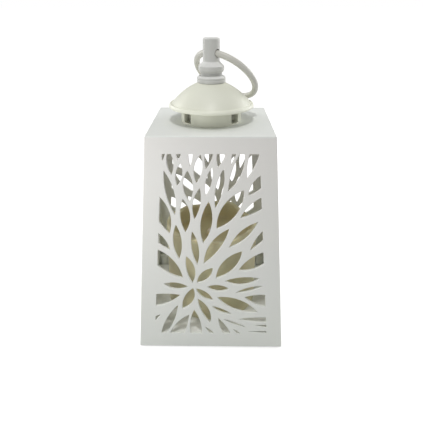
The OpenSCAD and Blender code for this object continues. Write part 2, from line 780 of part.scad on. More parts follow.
module led_leads() {
    color(steel)
        for (side = [-1, 1])
            translate([side * lead_pitch / 2, 0, board_z + board_t])
                cylinder(r = lead_wire_r, h = led_z - led_rim_h - board_z - board_t, $fn = 16);
}

// The light's board

board_w = 30;
board_d = 16;
board_t = 1.2;
board_post_r = 2.6;
board_post_h = 4;
board_z = box_top + board_post_h;

module board_places() {
    for (side = [-1, 1]) translate([side * board_w * 0.4, 0, 0]) children();
}

module led_board() {
    color([0.20, 0.42, 0.28])
        difference() {
            translate([-board_w / 2, -board_d / 2, board_z]) cube([board_w, board_d, board_t]);
            translate([0, 0, board_z - over]) board_places()
                cylinder(r = small_screw[0] + 3 * run_gap, h = board_t + 2 * over, $fn = 24);
        }
}

module control_chip() {
    chip = [5, 4, 1.5];
    part = [2.2, 1.2, 0.7];
    color([0.12, 0.12, 0.13])
        translate([0, 0, board_z + board_t]) {
            translate([-chip[0] / 2, board_d / 4 - chip[1] / 2, 0]) cube(chip);
            for (x = [-board_w / 4, board_w / 5])
                translate([x - part[0] / 2, -board_d / 4, 0]) cube(part);
        }
}

module board_screws() {
    color(steel)
        translate([0, 0, board_z + board_t])
            board_places() mirror([0, 0, 1]) screw(small_screw, board_t + board_post_h - over);
}

// Cells, contacts and leads

tab_w = 4;
tab_h = 2.4;
spring_wire_r = 0.35;
lead_r = 0.6;
lead_bend = 1.8;
// Cells lie along Y, and every second one is turned end for end
function cell_x(i) = (i - 1) * cell_pitch;
function cell_turn(i) = i == 1 ? -1 : 1;
contact_y = box_half_y - contact_t / 2 - run_gap / 2;
// The open ends of the row: the first cell's nub and the last cell's base
tab_places = [[cell_x(0), contact_y], [cell_x(2), -contact_y]];
tab_top = box_top + tab_h;
switch_lead_x = -box_half_x / 3;

module cells() {
    nub_r = 1.9;
    nub_h = 0.9;
    nub_root = 0.1;
    for (i = [0 : 2])
        translate([cell_x(i), 0, cell_z])
            rotate([cell_turn(i) > 0 ? -90 : 90, 0, 0]) {
                // The nub's tip touches its contact plate, local +Z is the nub's way
                tip = box_half_y - contact_t - run_gap;
                color([0.16, 0.20, 0.17])
                    translate([0, 0, tip - cell_len]) cylinder(r = cell_r, h = cell_len - nub_h, $fn = 64);
                color(steel)
                    translate([0, 0, tip - nub_h - nub_root])
                        cylinder(r = nub_r, h = nub_h + nub_root, $fn = 32);
            }
}

module contact(x0, x1, side) {
    h = 2 * cell_r * 0.8;
    translate([x0 - h / 2, side * contact_y - contact_t / 2, cell_z - h / 2])
        cube([x1 - x0 + h, contact_t, h]);
}

module contact_plates() {
    color([0.78, 0.76, 0.68]) {
        contact(cell_x(1), cell_x(2), 1);
        contact(cell_x(0), cell_x(1), -1);
        for (k = [0, 1]) {
            side = k == 0 ? 1 : -1;
            contact(tab_places[k][0], tab_places[k][0], side);
            translate([tab_places[k][0] - tab_w / 2, tab_places[k][1] - contact_t / 2, cell_z])
                cube([tab_w, contact_t, tab_top - cell_z]);
        }
    }
}

// A tube along a path whose points all share one x, as one closed surface
module tube(path, r, sides) {
    n = len(path);
    rings = [for (i = [0 : n - 1])
        let (a = path[max(i - 1, 0)], b = path[min(i + 1, n - 1)], t = (b - a) / norm(b - a),
            side = cross([1, 0, 0], t))
        [for (k = [0 : sides - 1]) let (w = (k + 0.5) * 360 / sides)
            path[i] + r * (cos(w) * [1, 0, 0] + sin(w) * side)]];
    points = [for (ring = rings) for (p = ring) p];
    faces = concat(
        [[for (k = [0 : sides - 1]) k]],
        [for (i = [0 : n - 2]) for (k = [0 : sides - 1])
            let (m = (k + 1) % sides)
            [i * sides + k, (i + 1) * sides + k, (i + 1) * sides + m, i * sides + m]],
        [[for (k = [0 : sides - 1]) (n - 1) * sides + sides - 1 - k]]);
    polyhedron(points, faces);
}

// A path in the plane of one x through [y, z] corners, each corner rounded by lead_bend
function rounded(x, corners) =
    let (n = len(corners))
    [for (i = [0 : n - 1])
        if (i == 0 || i == n - 1) [x, corners[i][0], corners[i][1]]
        else
            let (c = corners[i], a = corners[i - 1] - c, b = corners[i + 1] - c,
                ua = a / norm(a), ub = b / norm(b), half = acos(ua * ub) / 2,
                cut = lead_bend / tan(half), mid = c + (ua + ub) / norm(ua + ub) * lead_bend / sin(half),
                steps = 4)
            each [for (k = [0 : steps])
                let (s = k / steps, p = c + ua * cut, q = c + ub * cut,
                    w = (p - mid) * sin((1 - s) * (180 - 2 * half)) + (q - mid) * sin(s * (180 - 2 * half)),
                    v = mid + w / norm(w) * lead_bend)
                [x, v[0], v[1]]]];

// From the first cell's contact to the board's underside
module lead_red() {
    tab = tab_places[0];
    y0 = tab[1] - contact_t / 2;
    z0 = box_top + lead_r + fit_gap;
    color([0.75, 0.12, 0.10])
        tube(rounded(tab[0], [[y0, z0], [board_d / 3, z0], [board_d / 3, board_z]]), lead_r, 8);
}

// From the last cell's contact over the box's edge to the switch
module lead_black() {
    tab = tab_places[1];
    y0 = tab[1] - contact_t / 2;
    z0 = box_top + lead_r + fit_gap;
    down_y = -box_half_y - box_t - lead_bend - fit_gap;
    color([0.12, 0.12, 0.13])
        tube(rounded(tab[0], [[y0, z0], [down_y, z0], [down_y, lead_z], [switch_y + switch_d / 2, lead_z]]),
            lead_r, 8);
}

// From the switch up over the box's edge to the board's underside
module lead_switch() {
    z0 = box_top + lead_r + fit_gap;
    down_y = -box_half_y - box_t - lead_bend - fit_gap;
    color([0.12, 0.12, 0.13])
        tube(rounded(switch_lead_x,
            [[switch_y + switch_d / 2, lead_z], [down_y, lead_z], [down_y, z0], [-board_d / 3, z0],
                [-board_d / 3, board_z]]), lead_r, 8);
}

// Each spring winds outwards from the cell's end to its contact plate
module contact_springs() {
    turns = 4;
    per_turn = 12;
    sides = 6;
    tip_r = cell_r * 0.35;
    foot_coil_r = cell_r * 0.68;
    gap = 2 * spring_wire_r;
    travel = 2 * box_half_y - 2 * contact_t - 2 * run_gap - cell_len - gap;
    color(steel)
        for (i = [0 : 2]) {
            dir = -cell_turn(i);
            translate([cell_x(i), dir * (box_half_y - contact_t - run_gap - spring_wire_r), cell_z])
                coil(foot_coil_r, tip_r, -dir * travel, turns, per_turn, sides);
        }
}

// A conical coil along Y from one radius to another
module coil(r0, r1, travel, turns, per_turn, sides) {
    n = turns * per_turn;
    function place(i) = let (s = i / n, a = 360 * turns * s, r = r0 + (r1 - r0) * s)
        [r * cos(a), travel * s, r * sin(a)];
    rings = [for (i = [0 : n])
        let (t = place(i + 0.5) - place(i - 0.5), u = t / norm(t),
            out = [cos(360 * turns * i / n), 0, sin(360 * turns * i / n)],
            out_square = (out - u * (out * u)) / norm(out - u * (out * u)),
            side = cross(u, out_square))
        [for (k = [0 : sides - 1]) let (w = k * 360 / sides)
            place(i) + spring_wire_r * (cos(w) * out_square + sin(w) * side)]];
    points = [for (ring = rings) for (p = ring) p];
    faces = concat(
        [[for (k = [0 : sides - 1]) k]],
        [for (i = [0 : n - 1]) for (k = [0 : sides - 1])
            let (m = (k + 1) % sides)
            [i * sides + k, (i + 1) * sides + k, (i + 1) * sides + m, i * sides + m]],
        [[for (k = [0 : sides - 1]) n * sides + sides - 1 - k]]);
    polyhedron(points, faces);
}

// The battery door turns on two stub pins at its front end
module battery_door() {
    grooves = 4;
    groove_w = 1.2;
    color([0.80, 0.81, 0.79])
        difference() {
            union() {
                translate([-door_half_x, hinge_y, hinge_z - door_t / 2])
                    cube([2 * door_half_x, door_end - hinge_y, door_t]);
                translate([0, hinge_y, hinge_z]) rotate([0, 90, 0]) {
                    cylinder(r = door_t / 2, h = 2 * door_half_x, center = true, $fn = 32);
                    cylinder(r = pin_r, h = 2 * (door_half_x + pin_len), center = true, $fn = 24);
                }
            }
            for (i = [0 : grooves - 1])
                translate([-door_half_x / 2, door_end - (3 + 2.4 * i) * groove_w,
                        hinge_z - door_t / 2 - over])
                    cube([door_half_x, groove_w, door_t / 4 + over]);
        }
}

// The switch

switch_w = 11;
switch_d = 6;
switch_h = 3.8;
ear_at = 8;
ear_t = 1.2;
ear_r = 2.4;
switch_grip = 1.8;
slider_h = 2;
shoe_lip = 0.8;            // how much wider the slider's shoe is than its knob
knob_recess = 0.4;         // depth of the knob's face inside the base plate
pocket_w = 13;
pocket_d = 7;
lead_z = plate_top + switch_h / 2;

module switch_body() {
    cavity = [knob_w + shoe_lip + switch_travel + 2 * fit_gap, knob_d + shoe_lip + 2 * fit_gap,
        slider_h + fit_gap];
    color([0.30, 0.30, 0.31])
        translate([0, switch_y, plate_top])
            difference() {
                union() {
                    translate([-switch_w / 2, -switch_d / 2, 0]) cube([switch_w, switch_d, switch_h]);
                    translate([-ear_at, -ear_r, 0]) cube([2 * ear_at, 2 * ear_r, ear_t]);
                    for (side = [-1, 1])
                        translate([side * ear_at, 0, 0]) cylinder(r = ear_r, h = ear_t, $fn = 32);
                }
                translate([-cavity[0] / 2, -cavity[1] / 2, -over])
                    cube([cavity[0], cavity[1], cavity[2] + over]);
                for (side = [-1, 1])
                    translate([side * ear_at, 0, -over])
                        cylinder(r = tiny_screw[0] + 2 * run_gap, h = ear_t + 2 * over, $fn = 24);
            }
}

module switch_screws() {
    color(steel)
        for (side = [-1, 1])
            translate([side * ear_at, switch_y, plate_top + ear_t])
                mirror([0, 0, 1]) screw(tiny_screw, ear_t + switch_grip - run_gap);
}

module switch_slider() {
    shoe = [knob_w + shoe_lip, knob_d + shoe_lip, slider_h];
    knob_low = plate_z + knob_recess;
    ribs = 2;
    rib_groove = 0.3;
    color([0.16, 0.16, 0.17])
        translate([-switch_travel / 2, switch_y, 0])
            difference() {
                union() {
                    translate([-shoe[0] / 2, -shoe[1] / 2, plate_top + door_gap]) cube(shoe);
                    translate([-knob_w / 2, -knob_d / 2, knob_low])
                        cube([knob_w, knob_d, plate_top + door_gap - knob_low + slider_h / 2]);
                }
                for (i = [0 : ribs - 1])
                    translate([(i - 0.5) * knob_w / 3 - rib_groove / 2, -knob_d, knob_low - over])
                        cube([rib_groove, 2 * knob_d, over + rib_groove]);
            }
}

housing();
chimney_collar();
cap_screws();
dome_cap();
finial();
finial_screw();
carry_ring();
base_plate();
base_screws();
rubber_feet();
floor_panel();
floor_screws();
candle_shell();
candle_screws();
flame_lens();
led();
led_leads();
led_board();
control_chip();
board_screws();
cells();
contact_plates();
contact_springs();
lead_red();
lead_switch();
lead_black();
battery_door();
switch_body();
switch_screws();
switch_slider();
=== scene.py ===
import json
import math

import bmesh
import bpy
from bpy.props import FloatProperty, FloatVectorProperty, IntProperty, PointerProperty
from mathutils import Matrix, Vector


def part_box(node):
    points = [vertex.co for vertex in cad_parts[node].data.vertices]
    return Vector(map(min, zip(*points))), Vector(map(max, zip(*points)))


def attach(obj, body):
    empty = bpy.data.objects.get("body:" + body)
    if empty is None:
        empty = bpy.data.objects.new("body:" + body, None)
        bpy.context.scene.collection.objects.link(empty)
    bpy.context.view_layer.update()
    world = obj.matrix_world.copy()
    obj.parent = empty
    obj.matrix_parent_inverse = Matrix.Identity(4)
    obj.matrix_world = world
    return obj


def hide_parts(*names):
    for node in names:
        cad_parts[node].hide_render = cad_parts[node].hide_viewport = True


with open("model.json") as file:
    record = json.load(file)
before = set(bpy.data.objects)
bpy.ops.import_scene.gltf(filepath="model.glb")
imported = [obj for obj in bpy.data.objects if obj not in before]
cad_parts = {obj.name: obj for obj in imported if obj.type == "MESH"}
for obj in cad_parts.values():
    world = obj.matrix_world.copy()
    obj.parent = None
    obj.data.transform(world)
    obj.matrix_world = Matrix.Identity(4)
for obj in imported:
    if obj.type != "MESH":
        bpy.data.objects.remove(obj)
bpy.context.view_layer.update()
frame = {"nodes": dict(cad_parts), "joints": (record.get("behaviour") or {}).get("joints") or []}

bl_info = {
    "name": "LED Lantern",
    "version": (1, 0, 0),
    "blender": (4, 5, 0),
    "location": "View3D > Sidebar > Lantern",
    "description": "Builds the visible pieces of a pierced table lantern around its packed CAD frame",
    "category": "Object",
}

MM = 0.001
BODY = "lantern"
QUARTER = math.pi / 2

# Lowest and highest corners of the CAD pieces at rest
HOUSING_LOW, HOUSING_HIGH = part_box("housing")
CAP_LOW, CAP_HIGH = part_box("dome_cap")
FINIAL_LOW, FINIAL_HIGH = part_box("finial")
CANDLE_LOW, CANDLE_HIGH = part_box("candle_shell")
LENS_LOW, LENS_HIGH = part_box("flame_lens")
CELLS_LOW, CELLS_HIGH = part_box("cells")
COLLAR_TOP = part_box("chimney_collar")[1].z
PLATE_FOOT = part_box("base_plate")[0].z
RING_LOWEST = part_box("carry_ring")[0].z
RING_JOINT = next(j for j in frame["joints"] if j["name"] == "ring_swing")
RING_EYE = Vector(RING_JOINT["pos_m"])
RING_AXIS = Vector(RING_JOINT["axis"]).normalized()


# The lengths and colours that a user would change


def length(name, description, millimetres):
    return FloatProperty(name=name, description=description, default=millimetres * MM, unit="LENGTH",
                         precision=5)


def colour(name, description, default):
    return FloatVectorProperty(name=name, description=description, default=default, subtype="COLOR",
                               size=3, min=0.0, max=1.0)


class LanternBodySizes(bpy.types.PropertyGroup):
    """Sizes of the pierced body"""
    wall: length("Wall", "Thickness of the walls and the top plate", 2.4)
    top_width: length("Top width", "Width that the tapered walls reach at the top plate", 86.6)
    edge_round: length("Edge rounding", "Radius of the upright and top edges", 0.7)
    lip_round: length("Lip rounding", "Radius of the softened edge around each leaf", 0.45)
    window_foot: length("Window foot", "Height of the pattern above the body's foot", 12.5)
    window_height: length("Window height", "Height of the pattern", 143.7)
    window_margin: length("Window margin", "Plain margin at each side of the pattern", 11.6)
    burst_shift: length("Burst shift", "How far the burst stands right of the middle", 0.4)
    vent_radius: length("Vent radius", "Radius of the vent in the top plate", 14.0)
    boss_radius: length("Boss radius", "Radius of the screw bosses in the lower corners", 3.6)
    boss_height: length("Boss height", "Height of those bosses", 16.0)
    boss_reach: length("Boss place", "Distance of a boss from the middle along each side", 48.0)
    arc_segments: IntProperty(name="Arc segments", description="Segments of each side of a leaf",
                              default=16, min=6, max=48)


class LanternCapSizes(bpy.types.PropertyGroup):
    """Sizes of the domed cap and its finial"""
    seat_radius: length("Seat radius", "Radius of the flat seat under the finial", 10.2)
    shell: length("Shell", "Thickness of the cap", 2.0)
    belly: length("Belly", "How far the dome bulges from a straight cone", 1.5)
    brim: length("Brim", "Width of the rolled brim beyond the dome", 2.3)
    brim_drop: length("Brim drop", "How far the brim hangs below the cap's CAD foot", 1.1)
    collar_radius: length("Rib radius", "Outer radius of the rib that sits on the collar", 21.4)
    collar_rib: length("Rib", "Thickness of that rib", 1.2)
    spigot_radius: length("Spigot radius", "Radius of the spigot under the seat", 6.0)
    screw_hole: length("Screw hole", "Radius of the hole for the long screw", 1.65)
    screw_grip: length("Screw grip", "Depth of that screw's hole in the finial", 9.0)
    flange_height: length("Flange height", "Height of the finial's flange", 4.6)
    neck_radius: length("Neck radius", "Radius of the neck", 7.7)
    neck_height: length("Neck height", "Height of the neck", 2.3)
    bulb_radius: length("Bulb radius", "Radius of the bulb", 9.1)
    bulb_height: length("Bulb height", "Height of the bulb", 7.4)
    post_radius: length("Post radius", "Radius of the post", 5.9)
    ring_radius: length("Ring radius", "Radius of the ring's centre line", 24.0)
    wire_radius: length("Wire radius", "Radius of the ring's wire", 2.25)
    eye_gap: length("Eye gap", "Space around the wire in the finial's eye", 0.1)


class LanternCandleSizes(bpy.types.PropertyGroup):
    """Sizes of the candle and its light"""
    rim_width: length("Rim width", "Width of the rim around the pool", 4.5)
    wall: length("Wall", "Thickness of the candle's shell", 2.2)
    pool_depth: length("Pool depth", "Depth of the pool below the rim", 15.5)
    dip_radius: length("Dip radius", "Radius of the hollows that make the rim wavy", 34.0)
    boss_radius: length("Boss radius", "Radius of the screw bosses under the shell", 3.2)
    boss_height: length("Boss height", "Height of those bosses", 12.0)
    lens_radius: length("Lens radius", "Radius of the flame lens", 4.2)
    lens_flange: length("Lens flange", "Height of the flange that holds the lens", 1.2)
    led_radius: length("Light radius", "Radius of the bore for the light", 2.55)
    led_depth: length("Light depth", "Depth of that bore", 6.0)
    wobble: length("Wobble", "How far the wax wanders from a true cylinder", 0.3)


class LanternFinishes(bpy.types.PropertyGroup):
    """Colours of the finishes"""
    shell: colour("Body white", "Moulded white of the body", (0.811, 0.830, 0.801))
    cap: colour("Cap cream", "Cream of the cap and collar", (0.765, 0.775, 0.665))
    finial: colour("Finial grey", "Pale grey of the finial", (0.59, 0.595, 0.565))
    ring: colour("Ring grey", "Warm grey of the carry ring", (0.62, 0.615, 0.56))
    wax: colour("Wax", "Colour of the candle's wax", (0.725, 0.675, 0.45))
    pool: colour("Pool", "Darker colour of the wax in the pool", (0.68, 0.605, 0.355))
    base: colour("Base white", "Moulded off-white of the base", (0.78, 0.79, 0.75))
    # The floor panel's white is lighter than the base's, as painted light on the floor inside
    floor: colour("Floor white", "White of the panel that the candle stands on", (0.92, 0.93, 0.905))


SETTINGS = {
    "lantern_body": LanternBodySizes,
    "lantern_cap": LanternCapSizes,
    "lantern_candle": LanternCandleSizes,
    "lantern_finish": LanternFinishes,
}


# Leaves of one wall's burst: across and up at each tip as shares of the pattern's half width and
# height, then the bulge at each side as a share of the leaf's length
LEAF_SHARES = (
    # Around the heart
    (-0.425, 0.293, -0.88, 0.311, 0.18, 0.125),
    (-0.345, 0.316, -0.47, 0.472, 0.09, 0.18),
    (-0.26, 0.317, 0.03, 0.405, 0.19, 0.20),
    (-0.07, 0.294, 0.33, 0.283, 0.145, 0.19),
    (-0.28, 0.283, 0.035, 0.212, 0.14, 0.17),
    (-0.245, 0.22, -0.015, 0.068, 0.165, 0.08),
    (-0.335, 0.285, -0.52, 0.158, 0.23, 0.14),
    # Lower left fan
    (-0.56, 0.242, -1.45, 0.205, 0.18, 0.09),
    (-0.92, 0.12, -1.20, 0.05, 0.10, 0.08),
    (-0.61, 0.178, -0.90, -0.04, 0.085, 0.09),
    (-0.405, 0.118, -0.72, -0.12, 0.09, 0.18),
    (-0.31, 0.15, -0.25, -0.10, 0.135, 0.12),
    (-0.105, 0.042, 0.12, -0.04, 0.09, 0.08),
    # Lower right fan
    (0.11, 0.231, 0.84, 0.14, 0.135, 0.14),
    (0.015, 0.175, 0.365, 0.126, 0.07, 0.12),
    (0.13, 0.098, 0.40, -0.07, 0.085, 0.105),
    (0.22, 0.094, 0.62, 0.043, 0.035, 0.06),
    (0.49, 0.094, 1.50, 0.09, 0.045, 0.055),
    (0.79, 0.056, 1.35, 0.042, 0.04, 0.06),
    (0.66, 0.014, 1.40, 0.008, 0.02, 0.03),
    (0.40, 0.028, 0.62, -0.04, 0.07, 0.06),
    (0.61, 0.232, 1.45, 0.205, 0.115, 0.18),
    (0.455, 0.259, 0.95, 0.301, 0.08, 0.07),
    (0.26, 0.33, 0.90, 0.346, 0.08, 0.17),
    # Right side
    (0.51, 0.393, 1.20, 0.51, 0.12, 0.195),
    (0.09, 0.345, 0.59, 0.502, 0.165, 0.16),
    (0.745, 0.508, 1.25, 0.66, 0.11, 0.08),
    (0.345, 0.522, 0.91, 0.663, 0.12, 0.11),
    (-0.135, 0.43, 0.35, 0.625, 0.145, 0.09),
    (0.11, 0.625, 0.65, 0.825, 0.165, 0.17),
    (0.57, 0.683, 1.30, 0.81, 0.14, 0.11),
    (0.735, 0.798, 1.20, 0.92, 0.17, 0.14),
    # Left side
    (-0.525, 0.345, -1.30, 0.53, 0.13, 0.17),
    (-0.78, 0.508, -1.25, 0.63, 0.10, 0.144),
    (-0.80, 0.598, -1.25, 0.83, 0.10, 0.19),
    (-0.605, 0.456, -0.68, 0.645, 0.113, 0.113),
    (-0.26, 0.425, -0.365, 0.61, 0.082, 0.11),
    (-0.15, 0.545, -0.045, 0.768, 0.115, 0.133),
    (-0.495, 0.605, -0.555, 0.78, 0.11, 0.17),
    (-0.705, 0.698, -0.95, 0.92, 0.075, 0.105),
    (-0.32, 0.675, -0.225, 0.835, 0.13, 0.095),
    # Upper fan
    (0.085, 0.735, 0.255, 0.93, 0.09, 0.09),
    (0.34, 0.82, 0.67, 1.03, 0.07, 0.14),
    (-0.105, 0.797, 0.025, 0.937, 0.11, 0.09),
    (-0.42, 0.768, -0.475, 0.92, 0.17, 0.135),
    (-0.67, 0.848, -0.62, 0.955, 0.14, 0.148),
    (-0.29, 0.86, -0.215, 0.997, 0.15, 0.125),
    (-0.795, 0.90, -0.87, 1.02, 0.12, 0.13),
    # Cut by the top edge
    (0.72, 0.883, 1.05, 1.10, 0.10, 0.088),
    (0.405, 0.95, 0.62, 1.09, 0.084, 0.05),
    (0.135, 0.935, 0.28, 1.10, 0.10, 0.145),
    (-0.105, 0.928, 0.00, 1.10, 0.088, 0.136),
    (-0.42, 0.943, -0.41, 1.07, 0.083, 0.075),
    (-0.665, 0.972, -0.66, 1.07, 0.13, 0.13),
    (-0.985, 0.968, -0.97, 1.06, 0.05, 0.10),
)

# Dips in the candle's rim: direction in degrees, and depth as a share of the rim's width
RIM_DIP_SHARES = ((-108, 0.31), (-72, 0.71), (-38, 0.49), (-8, 0.89), (28, 1.20), (107, 0.84), (142, 0.67),
                  (182, 0.53), (218, 0.53))

# Parts that each flat wall is split into, along and up, so that the holes are cut out of small faces
WALL_SPLITS = 13


# How close points have to be to count as one: in new meshes, in CAD meshes and cut ones, and along
# the lips of the leaves
WELD = 1e-7
CAD_WELD = 1e-6
LIP_WELD = 2e-6

# Radii below these count as none: on the axis of a turned piece, and at a corner
ON_AXIS = 1e-9
LEAST_BEND = 1e-6

# A rounding takes up no more than this share of a side, so that two of them fit on it
SIDE_SHARE = 0.48

# Mesh helpers


def add_object(name, data):
    obj = bpy.data.objects.new(name, data)
    bpy.context.scene.collection.objects.link(obj)
    return obj


def object_from(name, verts, faces):
    mesh = bpy.data.meshes.new(name)
    mesh.from_pydata([tuple(v) for v in verts], [], faces)
    mesh.validate()
    return add_object(name, mesh)


def flatten(obj):
    """Turns what the modifiers make into the object's own plain mesh."""
    graph = bpy.context.evaluated_depsgraph_get()
    graph.update()
    mesh = bpy.data.meshes.new_from_object(obj.evaluated_get(graph), depsgraph=graph)
    old = obj.data
    obj.modifiers.clear()
    obj.data = mesh
    mesh.name = obj.name
    bpy.data.meshes.remove(old)
    return obj


def weld_and_orient(obj, distance=WELD):
    bm = bmesh.new()
    bm.from_mesh(obj.data)
    bmesh.ops.remove_doubles(bm, verts=bm.verts, dist=distance)
    bmesh.ops.recalc_face_normals(bm, faces=bm.faces)
    bm.to_mesh(obj.data)
    bm.free()
    return obj


def boolean(obj, others, operation):
    for other in others:
        step = obj.modifiers.new("Cut", "BOOLEAN")
        step.operation = operation
        step.solver = "MANIFOLD"
        step.object = other
    flatten(obj)
    for other in others:
        bpy.data.objects.remove(other)
    return obj


def corner_arcs(points, steps):
    """Rounds a row of (radius, height, rounding) corners into a row of (radius, height)."""
    path = []
    last = len(points) - 1
    for i, (r, z, bend) in enumerate(points):
        here = Vector((r, z))
        if bend <= 0 or i in (0, last):
            path.append((r, z))
            continue
        back = Vector(points[i - 1][:2]) - here
        ahead = Vector(points[i + 1][:2]) - here
        half = back.angle(ahead) / 2
        cut = min(bend / math.tan(half), SIDE_SHARE * back.length, SIDE_SHARE * ahead.length)
        bend = cut * math.tan(half)
        start = here + back.normalized() * cut
        end = here + ahead.normalized() * cut
        middle = here + (back.normalized() + ahead.normalized()).normalized() * bend / math.sin(half)
        for k in range(steps + 1):
            ray = (start - middle).lerp(end - middle, k / steps).normalized() * bend
            path.append(tuple(middle + ray))
    return path


def bulged(start, end, bulge, steps):
    """Points along the circle that leaves the straight way by the bulge, to the left of that way."""
    start, end = Vector(start), Vector(end)
    way = end - start
    left = Vector((-way.y, way.x)).normalized()
    radius = (way.length ** 2 / 4 + bulge ** 2) / (2 * bulge)
    middle = (start + end) / 2 - left * (radius - bulge)
    half = math.asin(way.length / 2 / radius)
    turns = [half * (2 * k / steps - 1) for k in range(steps + 1)]
    return [tuple(middle + (left * math.cos(a) + way.normalized() * math.sin(a)) * radius) for a in turns]


def lathe(name, path, segments, centre=(0.0, 0.0)):
    """Turns a closed outline round the upright axis. An outline that starts and ends on the axis
    is closed there by poles, any other joins its last point to its first."""
    on_axis = path[0][0] <= ON_AXIS and path[-1][0] <= ON_AXIS
    verts = []
    rings = []
    for r, z in path:
        if r <= ON_AXIS:
            rings.append([len(verts)])
            verts.append((centre[0], centre[1], z))
            continue
        rings.append(list(range(len(verts), len(verts) + segments)))
        for k in range(segments):
            angle = 2 * math.pi * k / segments
            verts.append((centre[0] + r * math.cos(angle), centre[1] + r * math.sin(angle), z))
    pairs = list(zip(rings, rings[1:]))
    if not on_axis:
        pairs.append((rings[-1], rings[0]))
    faces = []
    for a, b in pairs:
        for k in range(segments):
            m = (k + 1) % segments
            corners = [a[k % len(a)], a[m % len(a)], b[m % len(b)], b[k % len(b)]]
            unique = list(dict.fromkeys(corners))
            if len(unique) > 2:
                faces.append(unique)
    return weld_and_orient(object_from(name, verts, faces))


def rod(name, radius, low, high, segments, centre=(0.0, 0.0)):
    """A plain round cutter or boss."""
    return lathe(name, [(0, low), (radius, low), (radius, high), (0, high)], segments, centre)


def box_object(name, low, high):
    xs, ys, zs = zip(low, high)
    verts = [(x, y, z) for z in zs for y in ys for x in xs]
    faces = [(0, 2, 3, 1), (4, 5, 7, 6), (0, 1, 5, 4), (1, 3, 7, 5), (3, 2, 6, 7), (2, 0, 4, 6)]
    return object_from(name, verts, faces)


def square_ring(half, bend, z, steps):
    """Points round a square with rounded corners, each straight side split into equal parts."""
    corners = []
    bend = max(bend, LEAST_BEND)
    for corner in range(4):
        sx = 1 if corner in (0, 3) else -1
        sy = 1 if corner in (0, 1) else -1
        middle = Vector((sx * (half - bend), sy * (half - bend), z))
        for k in range(steps + 1):
            angle = QUARTER * (corner + k / steps)
            corners.append(middle + Vector((math.cos(angle), math.sin(angle), 0.0)) * bend)
    ring = []
    for i, point in enumerate(corners):
        ring.append(point)
        if i % (steps + 1) == steps:
            after = corners[(i + 1) % len(corners)]
            ring += [point.lerp(after, k / WALL_SPLITS) for k in range(1, WALL_SPLITS)]
    return ring


def skin(name, rings, looped=False):
    """A closed solid through rings of equally many points. The last ring joins the first one when
    looped, else both have flat ends."""
    count = len(rings[0])
    verts = [p for ring in rings for p in ring]
    faces = [] if looped else [list(range(count))[::-1], [len(verts) - count + k for k in range(count)]]
    for i in range(len(rings) if looped else len(rings) - 1):
        j = (i + 1) % len(rings)
        for k in range(count):
            m = (k + 1) % count
            faces.append([i * count + k, i * count + m, j * count + m, j * count + k])
    return weld_and_orient(object_from(name, verts, faces))


# Groups of faces that lie in one plane are shaded flat from this area on. Round pieces have none.
SMALLEST_FLAT = 6 * MM * MM
BROAD_FLAT = 40 * MM * MM
ALL_ROUND = 1.0


def true_shading(obj, crease=math.radians(42), flat_area=SMALLEST_FLAT):
    """Shades large flats flat and lets the roundings between them run smoothly into both."""
    bm = bmesh.new()
    bm.from_mesh(obj.data)
    bm.normal_update()
    faces = bm.faces
    faces.ensure_lookup_table()
    parent = list(range(len(faces)))

    def find(i):
        while parent[i] != i:
            parent[i] = parent[parent[i]]
            i = parent[i]
        return i

    limit = math.cos(math.radians(0.4))
    for edge in bm.edges:
        if len(edge.link_faces) == 2:
            a, b = edge.link_faces
            if a.normal.dot(b.normal) > limit:
                parent[find(a.index)] = find(b.index)
    area = {}
    for face in faces:
        root = find(face.index)
        area[root] = area.get(root, 0.0) + face.calc_area()
    flat = [area[find(i)] > flat_area for i in range(len(faces))]
    normals = [face.normal.copy() for face in faces]
    least = math.cos(crease)
    corners = []
    for face in faces:
        own = normals[face.index]
        for loop in face.loops:
            if flat[face.index]:
                corners.append(own)
                continue
            total = Vector()
            best = None
            for other in loop.vert.link_loops:
                index = other.face.index
                near = normals[index].dot(own)
                if near < least:
                    continue
                if flat[index]:
                    if best is None or near > best[0]:
                        best = (near, normals[index])
                else:
                    total += normals[index] * other.calc_angle()
            corners.append(best[1] if best else (total.normalized() if total.length > 0 else own))
    for face in faces:
        face.smooth = True
    bm.to_mesh(obj.data)
    bm.free()
    obj.data.normals_split_custom_set([tuple(n) for n in corners])


def softened(node, name, width):
    """A copy of a CAD node with its sharp edges eased, to stand for that node."""
    flat = math.radians(0.5)
    sharp = math.radians(38)
    mesh = frame["nodes"][node].data.copy()
    obj = add_object(name, mesh)
    bm = bmesh.new()
    bm.from_mesh(mesh)
    bmesh.ops.remove_doubles(bm, verts=bm.verts, dist=CAD_WELD)
    bmesh.ops.dissolve_limit(bm, angle_limit=flat, verts=bm.verts, edges=bm.edges)
    bm.to_mesh(mesh)
    bm.free()
    mesh.materials.clear()
    ease = obj.modifiers.new("Ease", "BEVEL")
    ease.width = width
    ease.segments = 2
    ease.limit_method = "ANGLE"
    ease.angle_limit = sharp
    return flatten(obj)


def solids_of(node):
    """Lowest corner, highest corner and middle of each separate solid of a CAD node."""
    bm = bmesh.new()
    bm.from_mesh(frame["nodes"][node].data)
    bmesh.ops.remove_doubles(bm, verts=bm.verts, dist=CAD_WELD)
    left = set(bm.verts)
    boxes = []
    while left:
        group = [left.pop()]
        found = []
        while group:
            vert = group.pop()
            found.append(vert.co.copy())
            for edge in vert.link_edges:
                other = edge.other_vert(vert)
                if other in left:
                    left.discard(other)
                    group.append(other)
        low, high = [Vector([pick(co[i] for co in found) for i in range(3)]) for pick in (min, max)]
        boxes.append((low, high, (low + high) / 2))
    bm.free()
    return sorted(boxes, key=lambda box: (round(box[0].x, 5), round(box[0].y, 5)))


def place(obj, slot, finish, node, body=BODY, **shading):
    """Shades a finished piece, gives it its material and its body, and hides the CAD node that it stands
    for.
    """
    true_shading(obj, **shading)
    obj.data.materials.clear()
    obj.data.materials.append(finish)
    for polygon in obj.data.polygons:
        polygon.material_index = 0
    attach(obj, body)
    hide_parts(node)


# Node helpers


